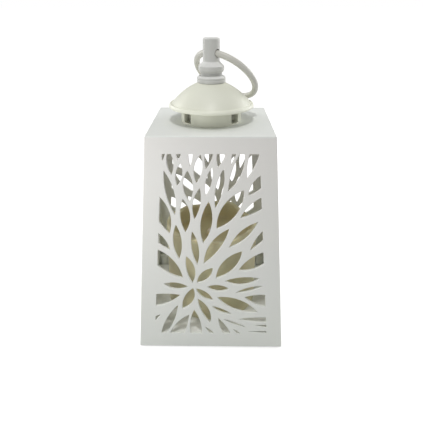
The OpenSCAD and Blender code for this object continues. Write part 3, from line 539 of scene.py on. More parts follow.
def sums(operation):
    """The two ways to write a sum: with the output as its first term and as its last."""

    def first(self, other):
        return self.nodes.math(operation, self, other)

    def last(self, other):
        return self.nodes.math(operation, other, self)

    return first, last


class Output:
    """The output of a node, which plain sums can be written with."""

    def __init__(self, nodes, socket):
        self.nodes = nodes
        self.socket = socket

    __add__, __radd__ = sums("ADD")
    __sub__, __rsub__ = sums("SUBTRACT")
    __mul__, __rmul__ = sums("MULTIPLY")
    __truediv__, __rtruediv__ = sums("DIVIDE")
    __gt__ = sums("GREATER_THAN")[0]

    def __neg__(self):
        return self * -1.0

    def __abs__(self):
        return self.nodes.math("ABSOLUTE", self)


def either(test, yes, no):
    """A number: yes where test is 1, no where it is 0."""
    return no + (yes - no) * test


class Nodes:
    """Adds nodes to a tree from plain calls. Each input is given a value, an output or a list."""

    def __init__(self, tree):
        self.tree = tree

    def add(self, kind, inputs=None, **settings):
        node = self.tree.nodes.new(kind)
        for key, value in settings.items():
            setattr(node, key, value)
        for key, value in (inputs or {}).items():
            for item in value if isinstance(value, list) else [value]:
                if isinstance(item, Output):
                    self.tree.links.new(item.socket, node.inputs[key])
                else:
                    node.inputs[key].default_value = item
        return node

    def make(self, kind, inputs=None, give=0, **settings):
        """Adds a node and gives one of its outputs."""
        return Output(self, self.add(kind, inputs, **settings).outputs[give])

    def math(self, operation, *terms):
        return self.make("ShaderNodeMath", dict(enumerate(terms)), operation=operation)

    def vector(self, operation, *terms):
        keys = (0, "Scale") if operation == "SCALE" else range(len(terms))
        give = "Value" if operation == "LENGTH" else "Vector"
        return self.make("ShaderNodeVectorMath", dict(zip(keys, terms)), give, operation=operation)

    def split(self, vector):
        return [Output(self, socket) for socket in self.add("ShaderNodeSeparateXYZ", {0: vector}).outputs]

    def combine(self, x, y, z):
        return self.make("ShaderNodeCombineXYZ", {0: x, 1: y, 2: z})


class Shaper(Nodes):
    """Builds a Geometry Nodes tree that ends in plain geometry in its finish."""

    def __init__(self, name):
        super().__init__(bpy.data.node_groups.new(name, "GeometryNodeTree"))
        for way in ("INPUT", "OUTPUT"):
            self.tree.interface.new_socket("Geometry", in_out=way, socket_type="NodeSocketGeometry")
        self.entry = self.tree.nodes.new("NodeGroupInput")
        self.points = Output(self, self.entry.outputs[0])

    def value(self, name, kind="NodeSocketFloat"):
        self.tree.interface.new_socket(name, in_out="INPUT", socket_type=kind)
        return Output(self, self.entry.outputs[name])

    def named(self, name):
        return self.make("GeometryNodeInputNamedAttribute", {"Name": name}, "Attribute",
                         data_type="FLOAT_VECTOR")

    def shape_of(self, source):
        return self.make("GeometryNodeObjectInfo", {"Object": source}, "Geometry",
                         transform_space="ORIGINAL")

    def copies(self, points, piece, **more):
        return self.make("GeometryNodeInstanceOnPoints", {"Points": points, "Instance": piece, **more})

    def plain(self, geometry):
        return self.make("GeometryNodeRealizeInstances", {0: geometry})

    def moved(self, geometry, position):
        return self.make("GeometryNodeSetPosition", {"Geometry": geometry, "Position": position})

    def boolean(self, operation, meshes):
        return self.make("GeometryNodeMeshBoolean", meshes, operation=operation, solver="MANIFOLD")

    def finish(self, geometry, material):
        plain = self.plain(geometry)
        painted = self.make("GeometryNodeSetMaterial", {"Geometry": plain, "Material": material})
        self.add("NodeGroupOutput", {0: painted})
        return self.tree


def shaped(obj, tree, values):
    """Runs a tree on an object and keeps what it makes as the object's plain mesh."""
    keys = {item.name: item.identifier for item in tree.interface.items_tree}
    step = obj.modifiers.new(tree.name, "NODES")
    step.node_group = tree
    for name, value in values.items():
        step[keys[name]] = value
    return flatten(obj)


# A cutter starts as a block from -1 to 1 with ten rings. The last ring at each end lies outside
# the wall, and the other four of that end shape the lip.
CUTTER_STEPS = 9
FIRST_LIP_RING = 1 / CUTTER_STEPS
LAST_LIP_RING = 7 / CUTTER_STEPS
OUTSIDE_RING = 0.9
# How far along the block its tips begin, and how far a leaf's tip may grow for each length by
# which its sides grow
AT_TIP = 0.9999
LONGEST_MITRE = 1.6


def cutter_block(maker, around):
    return maker.make("GeometryNodeMeshCylinder", {"Vertices": around, "Side Segments": CUTTER_STEPS,
                                                   "Radius": 1.0, "Depth": 2.0}, fill_type="NGON")


def lip_depth(maker, unit, wall, lip, over):
    """How far a cutter stands out and how deep it is at each of its ten rings, so that the hole it
    leaves has a quarter round at both faces of the wall."""
    z = maker.split(unit)[2]
    level = abs(z)
    share = (LAST_LIP_RING - level) * (1 / (LAST_LIP_RING - FIRST_LIP_RING))
    turn = maker.make("ShaderNodeClamp", {0: share}) * QUARTER
    out = lip * (1.0 - maker.math("SINE", turn))
    depth = lip * (1.0 - maker.math("COSINE", turn))
    depth = either(level > OUTSIDE_RING, -over, depth)
    return out, either(z > 0.0, -depth, depth - wall)


def leaf_burst_tree():
    """Cuts the burst of leaves out of all four walls of a shell. Each input point is one leaf and
    carries its two tips and its two bulges."""
    maker = Shaper("Leaf burst")
    shell = maker.value("Shell", "NodeSocketObject")
    finish = maker.value("Finish", "NodeSocketMaterial")
    segments = maker.value("Arc segments", "NodeSocketInt")
    wall, lip, over, low, high, low_half, high_half, tilt, foot_half, stand = [
        maker.value(name) for name in (
            "Wall", "Lip rounding", "Overrun", "Window low", "Window high", "Window half width low",
            "Window half width high", "Tilt", "Foot half width", "Stand")]

    # One round cutter on each point, drawn out into its leaf
    position = maker.make("GeometryNodeInputPosition")
    block = maker.make("GeometryNodeStoreNamedAttribute",
                       {"Geometry": cutter_block(maker, segments * 2.0), "Name": "unit", "Value": position},
                       data_type="FLOAT_VECTOR", domain="POINT")
    blocks = maker.plain(maker.copies(maker.points, block))
    unit = maker.named("unit")
    tip_a = maker.named("tip_a")
    tip_b = maker.named("tip_b")
    bulges = maker.split(maker.named("bulges"))
    ux, uy, _ = maker.split(unit)
    out, height = lip_depth(maker, unit, wall, lip, over)
    middle = maker.vector("SCALE", maker.vector("ADD", tip_a, tip_b), 0.5)
    reach = maker.vector("SCALE", maker.vector("SUBTRACT", tip_b, tip_a), 0.5)
    half = maker.vector("LENGTH", reach)
    along = maker.vector("NORMALIZE", reach)
    across = maker.vector("CROSS_PRODUCT", (0.0, 0.0, 1.0), along)
    left = uy > 0.0
    bulge = either(left, bulges[0], bulges[1])

    def arc_radius(rise):
        return (half * half + rise * rise) / (rise * 2.0)

    radius = arc_radius(bulge)
    x = ux * half
    chord = maker.math("SQRT", maker.math("MAXIMUM", radius * radius - x * x, 0.0))
    grow = out / radius
    x_out = x + x * grow
    y_out = either(left, 1.0, -1.0) * (chord - (radius - bulge) + chord * grow)
    # At a tip the two sides meet in a mitre
    slopes = half / arc_radius(bulges[0]) + half / arc_radius(bulges[1])
    x_tip = ux * (half + out * maker.math("MINIMUM", 2.0 / slopes, LONGEST_MITRE))
    at_tip = abs(ux) > AT_TIP
    spot = maker.vector("ADD", middle, maker.vector("SCALE", along, either(at_tip, x_tip, x_out)))
    spot = maker.vector("ADD", spot, maker.vector("SCALE", across, either(at_tip, 0.0, y_out)))
    spot_x, spot_y, _ = maker.split(spot)
    leaves = maker.moved(blocks, maker.combine(spot_x, spot_y, height))

    # The window that trims them, with the same soft lips
    wx, wy, _ = maker.split(position)
    w_out, w_height = lip_depth(maker, position, wall, lip, over)
    upper = wy - wx > 0.0
    edge_x = (either(upper, high_half, low_half) + w_out) * either(wx + wy > 0.0, 1.0, -1.0)
    edge_y = either(upper, high + w_out, low - w_out)
    window = maker.moved(cutter_block(maker, 4), maker.combine(edge_x, edge_y, w_height))
    trimmed = maker.boolean("INTERSECT", {"Mesh 2": [leaves, window]})

    # Stand the cutters up on one wall and turn copies to the other three
    upright = maker.make("GeometryNodeTransform",
                         {"Geometry": trimmed, "Rotation": maker.combine(QUARTER - tilt, 0.0, 0.0),
                          "Translation": maker.combine(0.0, -foot_half, stand)})
    walls = maker.make("GeometryNodeMeshLine", {"Count": 4, "Start Location": (0.0, 0.0, 0.0),
                                                "Offset": (0.0, 0.0, 0.0)})
    turn = maker.combine(0.0, 0.0, maker.make("GeometryNodeInputIndex") * QUARTER)
    cutters = maker.plain(maker.copies(walls, upright, Rotation=turn))
    pierced = maker.boolean("DIFFERENCE", {"Mesh 1": maker.shape_of(shell), "Mesh 2": [cutters]})
    return maker.finish(pierced, finish)


def copies_tree():
    """Puts a copy of one object on each point, turned as the point's turn says."""
    title = "Copies on points"
    if title in bpy.data.node_groups:
        return bpy.data.node_groups[title]
    maker = Shaper(title)
    source = maker.value("Piece", "NodeSocketObject")
    finish = maker.value("Finish", "NodeSocketMaterial")
    copies = maker.copies(maker.points, maker.shape_of(source), Rotation=maker.named("turn"))
    return maker.finish(copies, finish)


def spring_tree():
    """Winds one tapering contact spring on each point, along the way the point gives."""
    maker = Shaper("Contact springs")
    finish = maker.value("Finish", "NodeSocketMaterial")
    turns, foot, tip, height, wire = [
        maker.value(name) for name in ("Turns", "Foot radius", "Tip radius", "Height", "Wire radius")]
    spiral = maker.make("GeometryNodeCurveSpiral",
                        {"Resolution": 28, "Rotations": turns, "Start Radius": foot, "End Radius": tip,
                         "Height": height})
    section = maker.make("GeometryNodeCurvePrimitiveCircle", {"Resolution": 10, "Radius": wire})
    tube = maker.make("GeometryNodeCurveToMesh",
                      {"Curve": spiral, "Profile Curve": section, "Fill Caps": True})
    return maker.finish(maker.copies(maker.points, tube, Rotation=maker.named("turn")), finish)


def points_object(name, places, **vectors):
    """An object of bare points that carry named vectors."""
    obj = object_from(name, places, [])
    for key, rows in vectors.items():
        layer = obj.data.attributes.new(key, "FLOAT_VECTOR", "POINT")
        for i, row in enumerate(rows):
            layer.data[i].vector = row
    return obj


def copies_of(piece, name, places, turns, slot, finish, node, **shading):
    """Copies of one piece, turned about each place, that together stand for a CAD node."""
    copies = points_object(name, places, turn=turns)
    shaped(copies, copies_tree(), {"Piece": piece, "Finish": finish})
    bpy.data.objects.remove(piece)
    place(copies, slot, finish, node, **shading)


def lying(boxes, side, inset=0.0):
    """Places and turns of pieces that lie along Y and start at one end of their boxes: at the outer
    end if the side is 1, at the inner one if it is -1."""
    ways = [side if middle.y > 0 else -side for _, _, middle in boxes]
    places = [(middle.x, high.y - inset if way > 0 else low.y + inset, middle.z)
              for way, (low, high, middle) in zip(ways, boxes)]
    return places, [(QUARTER * way, 0.0, 0.0) for way in ways]


# Shared shader effects

DUST = (0.42, 0.40, 0.35)


class Paint(Nodes):
    """Builds the shader nodes of a material, a group or the world."""

    def where(self):
        return self.make("ShaderNodeTexCoord", give="Object")

    def span(self, value, low, high, to_low=0.0, to_high=1.0):
        return self.make("ShaderNodeMapRange", {"Value": value, "From Min": low, "From Max": high,
                                                "To Min": to_low, "To Max": to_high})

    def mix(self, amount, a, b, blend="MIX"):
        a, b = [value if isinstance(value, Output) else (*value, 1.0) for value in (a, b)]
        return self.make("ShaderNodeMix", {0: amount, 6: a, 7: b}, 2, data_type="RGBA", blend_type=blend)

    def noise(self, where, scale, detail=3.0, roughness=0.5):
        return self.make("ShaderNodeTexNoise", {"Vector": where, "Scale": scale, "Detail": detail,
                                                "Roughness": roughness}, "Fac")

    def stretched(self, where, scale):
        return self.make("ShaderNodeMapping", {"Vector": where, "Scale": scale})

    def bump(self, height, distance):
        return self.make("ShaderNodeBump", {"Height": height, "Distance": distance, "Strength": 1.0})

    def ray(self, *kinds):
        """1 for rays of these kinds, 0 for all others."""
        rays = self.add("ShaderNodeLightPath").outputs
        first, *others = [Output(self, rays[kind]) for kind in kinds]
        for other in others:
            first = self.math("MAXIMUM", first, other)
        return first

    def sockets(self, way, titles):
        for title in titles:
            kind = "NodeSocketColor" if title in ("Colour", "Dust") else "NodeSocketFloat"
            self.tree.interface.new_socket(title, in_out=way, socket_type=kind)

    def group(self, name, build, inputs):
        """The outputs of a shared group, which is built at its first use."""
        tree = bpy.data.node_groups.get(name)
        if not tree:
            tree = bpy.data.node_groups.new(name, "ShaderNodeTree")
            inside = Paint(tree)
            inside.sockets("INPUT", inputs)
            entry = tree.nodes.new("NodeGroupInput").outputs
            results = build(inside, {title: Output(inside, entry[title]) for title in inputs})
            inside.sockets("OUTPUT", results)
            inside.add("NodeGroupOutput", results)
        outputs = self.add("ShaderNodeGroup", inputs, node_tree=tree).outputs
        return [Output(self, socket) for socket in outputs]

    def surface(self, tint, roughness, mottle, grain, warmth):
        """Colour, roughness and height of the shared moulded surface."""
        return self.group("Moulded surface", moulded_surface, {
            "Colour": (*tint, 1.0), "Roughness": roughness, "Mottle": mottle, "Grain size": grain,
            "Warmth": warmth})


def moulded_surface(paint, given):
    """Fine grain, slow mottling and faint flow marks of an injection-moulded piece."""
    where = paint.where()
    grain = paint.noise(where, 1.0 / given["Grain size"], 2.0, 0.6)
    slow = paint.noise(where, 22.0, 3.0, 0.55)
    middle = paint.noise(where, 140.0)
    dark = given["Mottle"] * (slow - 0.5) + given["Mottle"] * ((middle - 0.5) * 0.6)
    shade = paint.vector("SCALE", given["Colour"], 1.0 + dark)
    warm = paint.mix(1.0, shade, (1.0, 0.985, 0.95), "MULTIPLY")
    return {
        "Colour": paint.mix(given["Warmth"] * paint.span(slow, 0.42, 0.68), shade, warm),
        "Roughness": given["Roughness"] + (middle - 0.5) * 0.16 + (grain - 0.5) * 0.05,
        "Height": grain * 0.35 + middle,
    }


def dust_and_highlight_veil(paint, given):
    """A thin veil on faces that look up, broken up by noise: settled dust in a dark colour, and a painted
    highlight on the tops in a pale one.
    """
    up = paint.split(paint.make("ShaderNodeNewGeometry", give="Normal"))[2]
    patches = paint.span(paint.noise(paint.where(), 60.0, 5.0, 0.65), 0.35, 0.7, 0.3, 1.0)
    mask = paint.span(up, 0.15, 0.7) * patches * given["Amount"]
    return {"Colour": paint.mix(mask, given["Colour"], given["Dust"]), "Mask": mask}


def painted(title, feed, *details, **more):
    """The material of this title, made at its first use. What feed gives goes to its shader."""
    # The CAD pieces bring plain materials of their own, so these names end in _finish
    name = title + "_finish"
    material = bpy.data.materials.get(name)
    if not material:
        material = bpy.data.materials.new(name)
        material.use_nodes = True
        material.node_tree.nodes.clear()
        paint = Paint(material.node_tree)
        shader = paint.make("ShaderNodeBsdfPrincipled", feed(paint, *details, **more))
        paint.add("ShaderNodeOutputMaterial", {"Surface": shader})
    return material


def scattering(weight, scale):
    return {"Subsurface Weight": weight, "Subsurface Radius": (1.0, 0.7, 0.4), "Subsurface Scale": scale}


def moulded(paint, tint, roughness, grain, mottle=0.05, bump=0.02 * MM, warmth=0.3, coat=0.0,
            dust=0.06, dust_colour=DUST, tints=()):
    """Moulded plastic: the shared grain, a little settled dust on faces that look up, which a pale colour
    turns into a painted highlight, and a fine bump. Each tint shifts the colour from one height down to the
    next."""
    coloured, rough, height = paint.surface(tint, roughness, mottle, grain, warmth)
    z = paint.split(paint.where())[2]
    for shift, first_z, last_z in tints:
        shifted = paint.mix(1.0, coloured, shift, "MULTIPLY")
        coloured = paint.mix(paint.span(z, first_z, last_z), coloured, shifted)
    veiled, mask = paint.group("Settled dust", dust_and_highlight_veil, {
        "Colour": coloured, "Amount": dust, "Dust": (*dust_colour, 1.0)})
    return {"Base Color": veiled, "Roughness": rough + mask * 0.6, "Normal": paint.bump(height, bump),
            "Coat Weight": coat, "Coat Roughness": 0.25}


def wax(paint, tint, pool_tint, rim_z, pool_z):
    """Wax that is darker in the pool, with faint rises and runs."""
    coloured, rough, height = paint.surface(tint, 0.5, 0.16, 0.0011, 0.8)
    where = paint.where()
    x, y, z = paint.split(where)
    # The pool's colour comes in between these radii and heights, unevenly along its edge
    uneven = paint.noise(where, 45.0, 4.0, 0.6) * (2.0 * MM)
    pool_radii = (36.0 * MM, 34.0 * MM)
    pool_heights = (rim_z - 0.5 * MM, pool_z + 2.0 * MM)
    spread = paint.math("SQRT", x * x + y * y)
    pooled = paint.span(spread + uneven, *pool_radii) * paint.span(z, *pool_heights)
    runs = paint.noise(paint.stretched(where, (1.0, 1.0, 0.25)), 160.0)
    return {"Base Color": paint.mix(pooled, coloured, pool_tint), "Roughness": rough - pooled * 0.15,
            "Normal": paint.bump(height + runs * 1.6, 0.09 * MM), **scattering(0.25, 2.5 * MM)}


def metal(paint, tint, roughness):
    """Plated metal with fine scratches and slightly duller patches."""
    coloured, rough, _ = paint.surface(tint, roughness, 0.12, 0.0004, 0.4)
    scratches = paint.noise(paint.stretched(paint.where(), (1.0, 0.06, 1.0)), 5200.0, 2.0, 0.6)
    return {"Base Color": coloured, "Roughness": rough + scratches * 0.12,
            "Normal": paint.bump(scratches, 0.004 * MM), "Metallic": 1.0}


def frosted(paint):
    """Frosted warm white of the flame lens, faintly clearer at its tip."""
    where = paint.where()
    rise = paint.span(paint.split(where)[2], LENS_LOW.z, LENS_HIGH.z)
    cloud = paint.noise(where, 420.0, 3.0, 0.6)
    return {"Base Color": paint.mix(rise, (0.80, 0.66, 0.40), (0.90, 0.84, 0.68)),
            "Roughness": paint.span(cloud, 0.3, 0.7, 0.32, 0.5), "Normal": paint.bump(cloud, 0.03 * MM),
            **scattering(0.6, 3.0 * MM)}


def solder_mask(paint):
    """Green solder mask with paler tracks under it."""
    edges = paint.make("ShaderNodeTexVoronoi", {"Vector": paint.where(), "Scale": 420.0}, "Distance",
                       feature="DISTANCE_TO_EDGE")
    track = paint.span(edges, 0.04, 0.07, 1.0, 0.0)
    return {"Base Color": paint.mix(track, (0.02, 0.11, 0.05), (0.05, 0.20, 0.09)),
            "Roughness": paint.span(track, 0.0, 1.0, 0.32, 0.25), "Normal": paint.bump(track, 0.03 * MM)}


def film_jacket(paint):
    """Dark film jacket with a copper-coloured band at the nub's end, which is the other end for the
    middle cell."""
    coloured, rough, height = paint.surface((0.03, 0.045, 0.035), 0.28, 0.2, 0.0005, 0.2)
    x, y, _ = paint.split(paint.where())
    pitch = (CELLS_HIGH.x - CELLS_LOW.x) / 3
    middle = paint.math("COMPARE", x, 0.0, pitch / 2)
    band_start = 12.0 * MM
    band = paint.span(y * (1.0 - middle * 2.0), band_start, band_start + 0.15 * MM)
    return {"Base Color": paint.mix(band, coloured, (0.50, 0.22, 0.09)), "Roughness": rough,
            "Normal": paint.bump(height, 0.015 * MM), "Coat Weight": 0.5, "Coat Roughness": 0.15}


def finishes():
    return bpy.context.scene.lantern_finish


def shell_white():
    top = HOUSING_HIGH.z
    # Painted light and shade: the walls are painted a little warmer than the top plate, and cooler again
    # towards the foot, for the tints that light and shade take on
    return painted("shell_white", moulded, finishes().shell, 0.46, 0.0007, mottle=0.03, warmth=0.25,
                   tints=[((1.038, 1.002, 1.002), top - 0.3 * MM, top - 0.9 * MM),
                          ((0.965, 1.01, 0.99), top - 10 * MM, HOUSING_LOW.z)])


def cream(title, tints=()):
    return painted(title, moulded, finishes().cap, 0.44, 0.0009, mottle=0.04, bump=0.018 * MM,
                   warmth=0.4, coat=0.06, tints=tints)


def cap_cream():
    # Painted highlight: the brim is painted a little lighter than the dome, for the light that falls on it
    brim_top = CAP_LOW.z + 1.9 * MM
    ease = 0.4 * MM
    return cream("cap_cream", [((1.10, 1.10, 1.10), brim_top, brim_top - ease)])


def finial_grey():
    sizes = bpy.context.scene.lantern_cap
    neck = FINIAL_LOW.z + sizes.flange_height
    bulb = neck + sizes.neck_height
    ease = 0.1 * MM
    # Painted light: the neck is painted darker than the flange and the bulb as painted shade in its groove,
    # and the faces that look up are veiled in a pale colour as a painted highlight
    return painted("finial_grey", moulded, finishes().finial, 0.46, 0.0008, bump=0.015 * MM, warmth=0.2,
                   coat=0.05, dust=1.0, dust_colour=(0.84, 0.84, 0.82),
                   tints=[((0.8, 0.8, 0.8), bulb + ease, bulb - ease),
                          ((1.25, 1.25, 1.25), neck + ease, neck - ease)])


def ring_grey():
    return painted("ring_grey", moulded, finishes().ring, 0.42, 0.0008, bump=0.015 * MM, warmth=0.6,
                   coat=0.08)


def base_white():
    return painted("base_white", moulded, finishes().base, 0.52, 0.0005, bump=0.03 * MM)


# Painted light: the floor panel is the base's plastic painted lighter, for the light that reaches it through
# the leaves
def floor_white():
    return painted("floor_white", moulded, finishes().floor, 0.5, 0.0005, mottle=0.04, bump=0.025 * MM,
                   warmth=0.2)


def screw_steel():
    return painted("screw_steel", metal, (0.60, 0.60, 0.61), 0.22)


def contact_plate():
    return painted("contact_plate", metal, (0.66, 0.62, 0.52), 0.2)


def rubber():
    return painted("foot_rubber", moulded, (0.035, 0.035, 0.037), 0.75, 0.0004, mottle=0.15,
                   bump=0.05 * MM, dust=0.2)


def dark_plastic():
    return painted("dark_plastic", moulded, (0.035, 0.035, 0.038), 0.42, 0.0004, mottle=0.1)


def lead(title, tint):
    return painted(title, moulded, tint, 0.4, 0.0005, mottle=0.1, dust=0.0)


# The body


def lean():
    """How far a wall leans in for each unit of height."""
    sizes = bpy.context.scene.lantern_body
    return (HOUSING_HIGH.x - sizes.top_width / 2) / (HOUSING_HIGH.z - HOUSING_LOW.z)


def half_out(z):
    """Half the width of the tapered body at a height."""
    return HOUSING_HIGH.x - lean() * (z - HOUSING_LOW.z)


def body_block():
    """The tapered body, solid, with its roundings."""
    bend = bpy.context.scene.lantern_body.edge_round
    steps = 6
    foot_steps = 3
    foot_ease = 0.5 * MM
    tilt = math.atan(lean())
    rings = []
    for k in range(foot_steps, -1, -1):
        a = QUARTER * k / foot_steps
        z = HOUSING_LOW.z + foot_ease * (1 - math.sin(a))
        inset = foot_ease * (1 - math.cos(a))
        rings.append(square_ring(half_out(z) - inset, bend - inset, z, steps))
    top_centre = HOUSING_HIGH.z - bend
    seat = half_out(top_centre) - bend / math.cos(tilt)
    first = HOUSING_LOW.z + foot_ease
    last = top_centre + bend * math.sin(tilt)
    for k in range(1, WALL_SPLITS):
        z = first + (last - first) * k / WALL_SPLITS
        rings.append(square_ring(half_out(z), bend, z, steps))
    for k in range(steps + 1):
        a = tilt + (QUARTER - tilt) * k / steps
        reach = bend * math.cos(a)
        rings.append(square_ring(seat + reach, reach, top_centre + bend * math.sin(a), steps))
    return skin("body_block", rings)


def body_cavity(over):
    """The hollow inside the walls, open at the foot."""
    wall = bpy.context.scene.lantern_body.wall
    bend = 1.2 * MM
    least_bend = 0.05 * MM
    steps = 4
    shoulder = HOUSING_HIGH.z - wall - bend
    first = HOUSING_LOW.z - over
    levels = [first + (shoulder - first) * k / WALL_SPLITS for k in range(WALL_SPLITS + 1)]
    rings = [square_ring(half_out(z) - wall, bend, z, steps) for z in levels]
    for k in range(1, steps + 1):
        a = QUARTER * k / steps
        inset = bend * (1 - math.cos(a))
        z = shoulder + bend * math.sin(a)
        rings.append(square_ring(half_out(shoulder) - wall - inset, max(bend - inset, least_bend), z, steps))
    return skin("body_cavity", rings)


def corner_bosses():
    """Screw bosses in the lower corners, each tied to both walls by a rib."""
    sizes = bpy.context.scene.lantern_body
    foot = PLATE_FOOT + 3.0 * MM
    top = foot + sizes.boss_height
    ease = 0.5 * MM
    rib = 0.9 * MM
    r = sizes.boss_radius
    path = corner_arcs([(0, foot, 0), (r, foot, 0), (r, top, ease), (0, top, 0)], steps=3)
    wall = half_out(top) - sizes.wall / 2
    pieces = []
    for sx in (-1, 1):
        for sy in (-1, 1):
            x, y = sx * sizes.boss_reach, sy * sizes.boss_reach
            pieces.append(lathe("boss", path, segments=40, centre=(x, y)))
            x_low, x_high = sorted((x, sx * wall))
            y_low, y_high = sorted((y, sy * wall))
            pieces.append(box_object("rib", (x_low, y - rib, foot), (x_high, y + rib, top)))
            pieces.append(box_object("rib", (x - rib, y_low, foot), (x + rib, y_high, top)))
    return pieces


def leaf_points(slope_angle):
    """The burst's points, each with its leaf's tips and bulges in the wall's own face."""
    sizes = bpy.context.scene.lantern_body
    stretch = 1 / math.cos(slope_angle)

    def on_face(u, v):
        rise = sizes.window_foot + sizes.window_height * v
        half = half_out(HOUSING_LOW.z + rise) - sizes.window_margin
        return Vector((half * u + sizes.burst_shift, rise * stretch, 0.0))

    tips = [(on_face(a, b), on_face(c, d)) for a, b, c, d, _, _ in LEAF_SHARES]
    bulges = [((q - p).length * row[4], (q - p).length * row[5], 0.0)
              for (p, q), row in zip(tips, LEAF_SHARES)]
    return points_object("leaf_points", [(0, 0, 0)] * len(tips), tip_a=[p for p, _ in tips],
                         tip_b=[q for _, q in tips], bulges=bulges)


class LANTERN_OT_housing(bpy.types.Operator):
    """Build the tapered body with its four pierced walls"""
    bl_idname = "lantern.housing"
    bl_label = "Body"

    def execute(self, context):
        sizes = context.scene.lantern_body
        slope = math.atan(lean())
        over = 1.0 * MM
        top = HOUSING_HIGH.z
        vent = rod("vent", sizes.vent_radius, top - sizes.wall - over, top + over, segments=96)
        shell = boolean(body_block(), [body_cavity(over), vent], "DIFFERENCE")
        shell = boolean(shell, corner_bosses(), "UNION")
        window_top = sizes.window_foot + sizes.window_height
        housing = leaf_points(slope)
        housing.name = "body_shell"
        shaped(housing, leaf_burst_tree(), {
            "Shell": shell,
            "Finish": shell_white(),
            "Arc segments": sizes.arc_segments,
            "Wall": sizes.wall * math.cos(slope),
            "Lip rounding": sizes.lip_round,
            "Overrun": over,
            "Window low": sizes.window_foot / math.cos(slope),
            "Window high": window_top / math.cos(slope),
            "Window half width low": half_out(HOUSING_LOW.z + sizes.window_foot) - sizes.window_margin,
            "Window half width high": half_out(HOUSING_LOW.z + window_top) - sizes.window_margin,
            "Tilt": slope,
            "Foot half width": HOUSING_HIGH.x,
            "Stand": HOUSING_LOW.z,
        })
        bpy.data.objects.remove(shell)
        place(weld_and_orient(housing, LIP_WELD), "white_shell", shell_white(), "housing")
        return {"FINISHED"}


# The cap, collar, finial and ring


class LANTERN_OT_collar(bpy.types.Operator):
    """Build the vented collar under the cap"""
    bl_idname = "lantern.collar"
    bl_label = "Collar"

    def execute(self, context):
        collar = softened("chimney_collar", "vent_collar", 0.3 * MM)
        place(collar, "cream_cap", cream("collar_cream"), "chimney_collar")
        return {"FINISHED"}


class LANTERN_OT_cap(bpy.types.Operator):
    """Build the domed cap with its rolled brim"""
    bl_idname = "lantern.cap"
    bl_label = "Cap"

    def execute(self, context):
        sizes = context.scene.lantern_cap
        reach = CAP_HIGH.x
        foot = CAP_LOW.z
        seat = CAP_HIGH.z
        ease = 0.3 * MM
        crease = (reach - sizes.brim, foot + 1.4 * MM)
        shelf = (crease[0] + 0.2 * MM, crease[1] + 0.14 * MM)
        hem = foot - sizes.brim_drop
        dome = bulged((sizes.seat_radius, seat - ease), crease, sizes.belly, steps=24)
        # Radius, height and rounding of each corner. The brim starts in a fine crease, runs out nearly
        # flat and rolls under.
        brim = corner_arcs([
            (*dome[-2], 0), (*crease, 0.06 * MM), (*shelf, 0.1 * MM),
            (reach - 1.0 * MM, foot + 1.7 * MM, 0.55 * MM), (reach - 0.08 * MM, foot + 0.35 * MM, 0.5 * MM),
            (reach, hem + 0.45 * MM, 0.3 * MM), (reach - 0.4 * MM, hem, 0.3 * MM),
            (reach - 2.3 * MM, hem, 0.5 * MM), (reach - 2.7 * MM, hem + 1.6 * MM, 0)], steps=6)
        # The inside is the dome's outside, moved down by the shell and in by a part of it
        inward = 0.6 * sizes.shell
        under = [(r - inward, z - sizes.shell) for r, z in dome][::-1]

        def under_at(radius):
            for (r0, z0), (r1, z1) in zip(under, under[1:]):
                if r1 <= radius <= r0:
                    return z0 + (z1 - z0) * (r0 - radius) / (r0 - r1)
            raise ValueError("the rib lies outside the dome")

        outer = sizes.collar_radius
        inner = outer - sizes.collar_rib
        ceiling = under[-1][1]
        spigot = sizes.spigot_radius
        fillet = 0.8 * MM
        hole = sizes.screw_hole
        rib = [(outer, under_at(outer)), (outer, COLLAR_TOP), (inner, COLLAR_TOP), (inner, under_at(inner))]
        inside = [p for p in under if p[0] > outer] + rib + [p for p in under if p[0] < inner]
        inside += [(spigot + fillet, ceiling), (spigot, ceiling - fillet), (spigot, COLLAR_TOP),
                   (hole, COLLAR_TOP), (hole, seat)]
        top = [(sizes.seat_radius - ease, seat)]
        cap = lathe("domed_cap", top + dome[:-1] + brim[1:] + inside[1:], segments=192)
        place(cap, "cream_cap", cap_cream(), "dome_cap", crease=math.radians(30), flat_area=BROAD_FLAT)
        return {"FINISHED"}


def eye_sag():
    """How far the ring's curve leaves the straight bore inside the post."""
    sizes = bpy.context.scene.lantern_cap
    return sizes.ring_radius - math.sqrt(sizes.ring_radius ** 2 - sizes.post_radius ** 2)


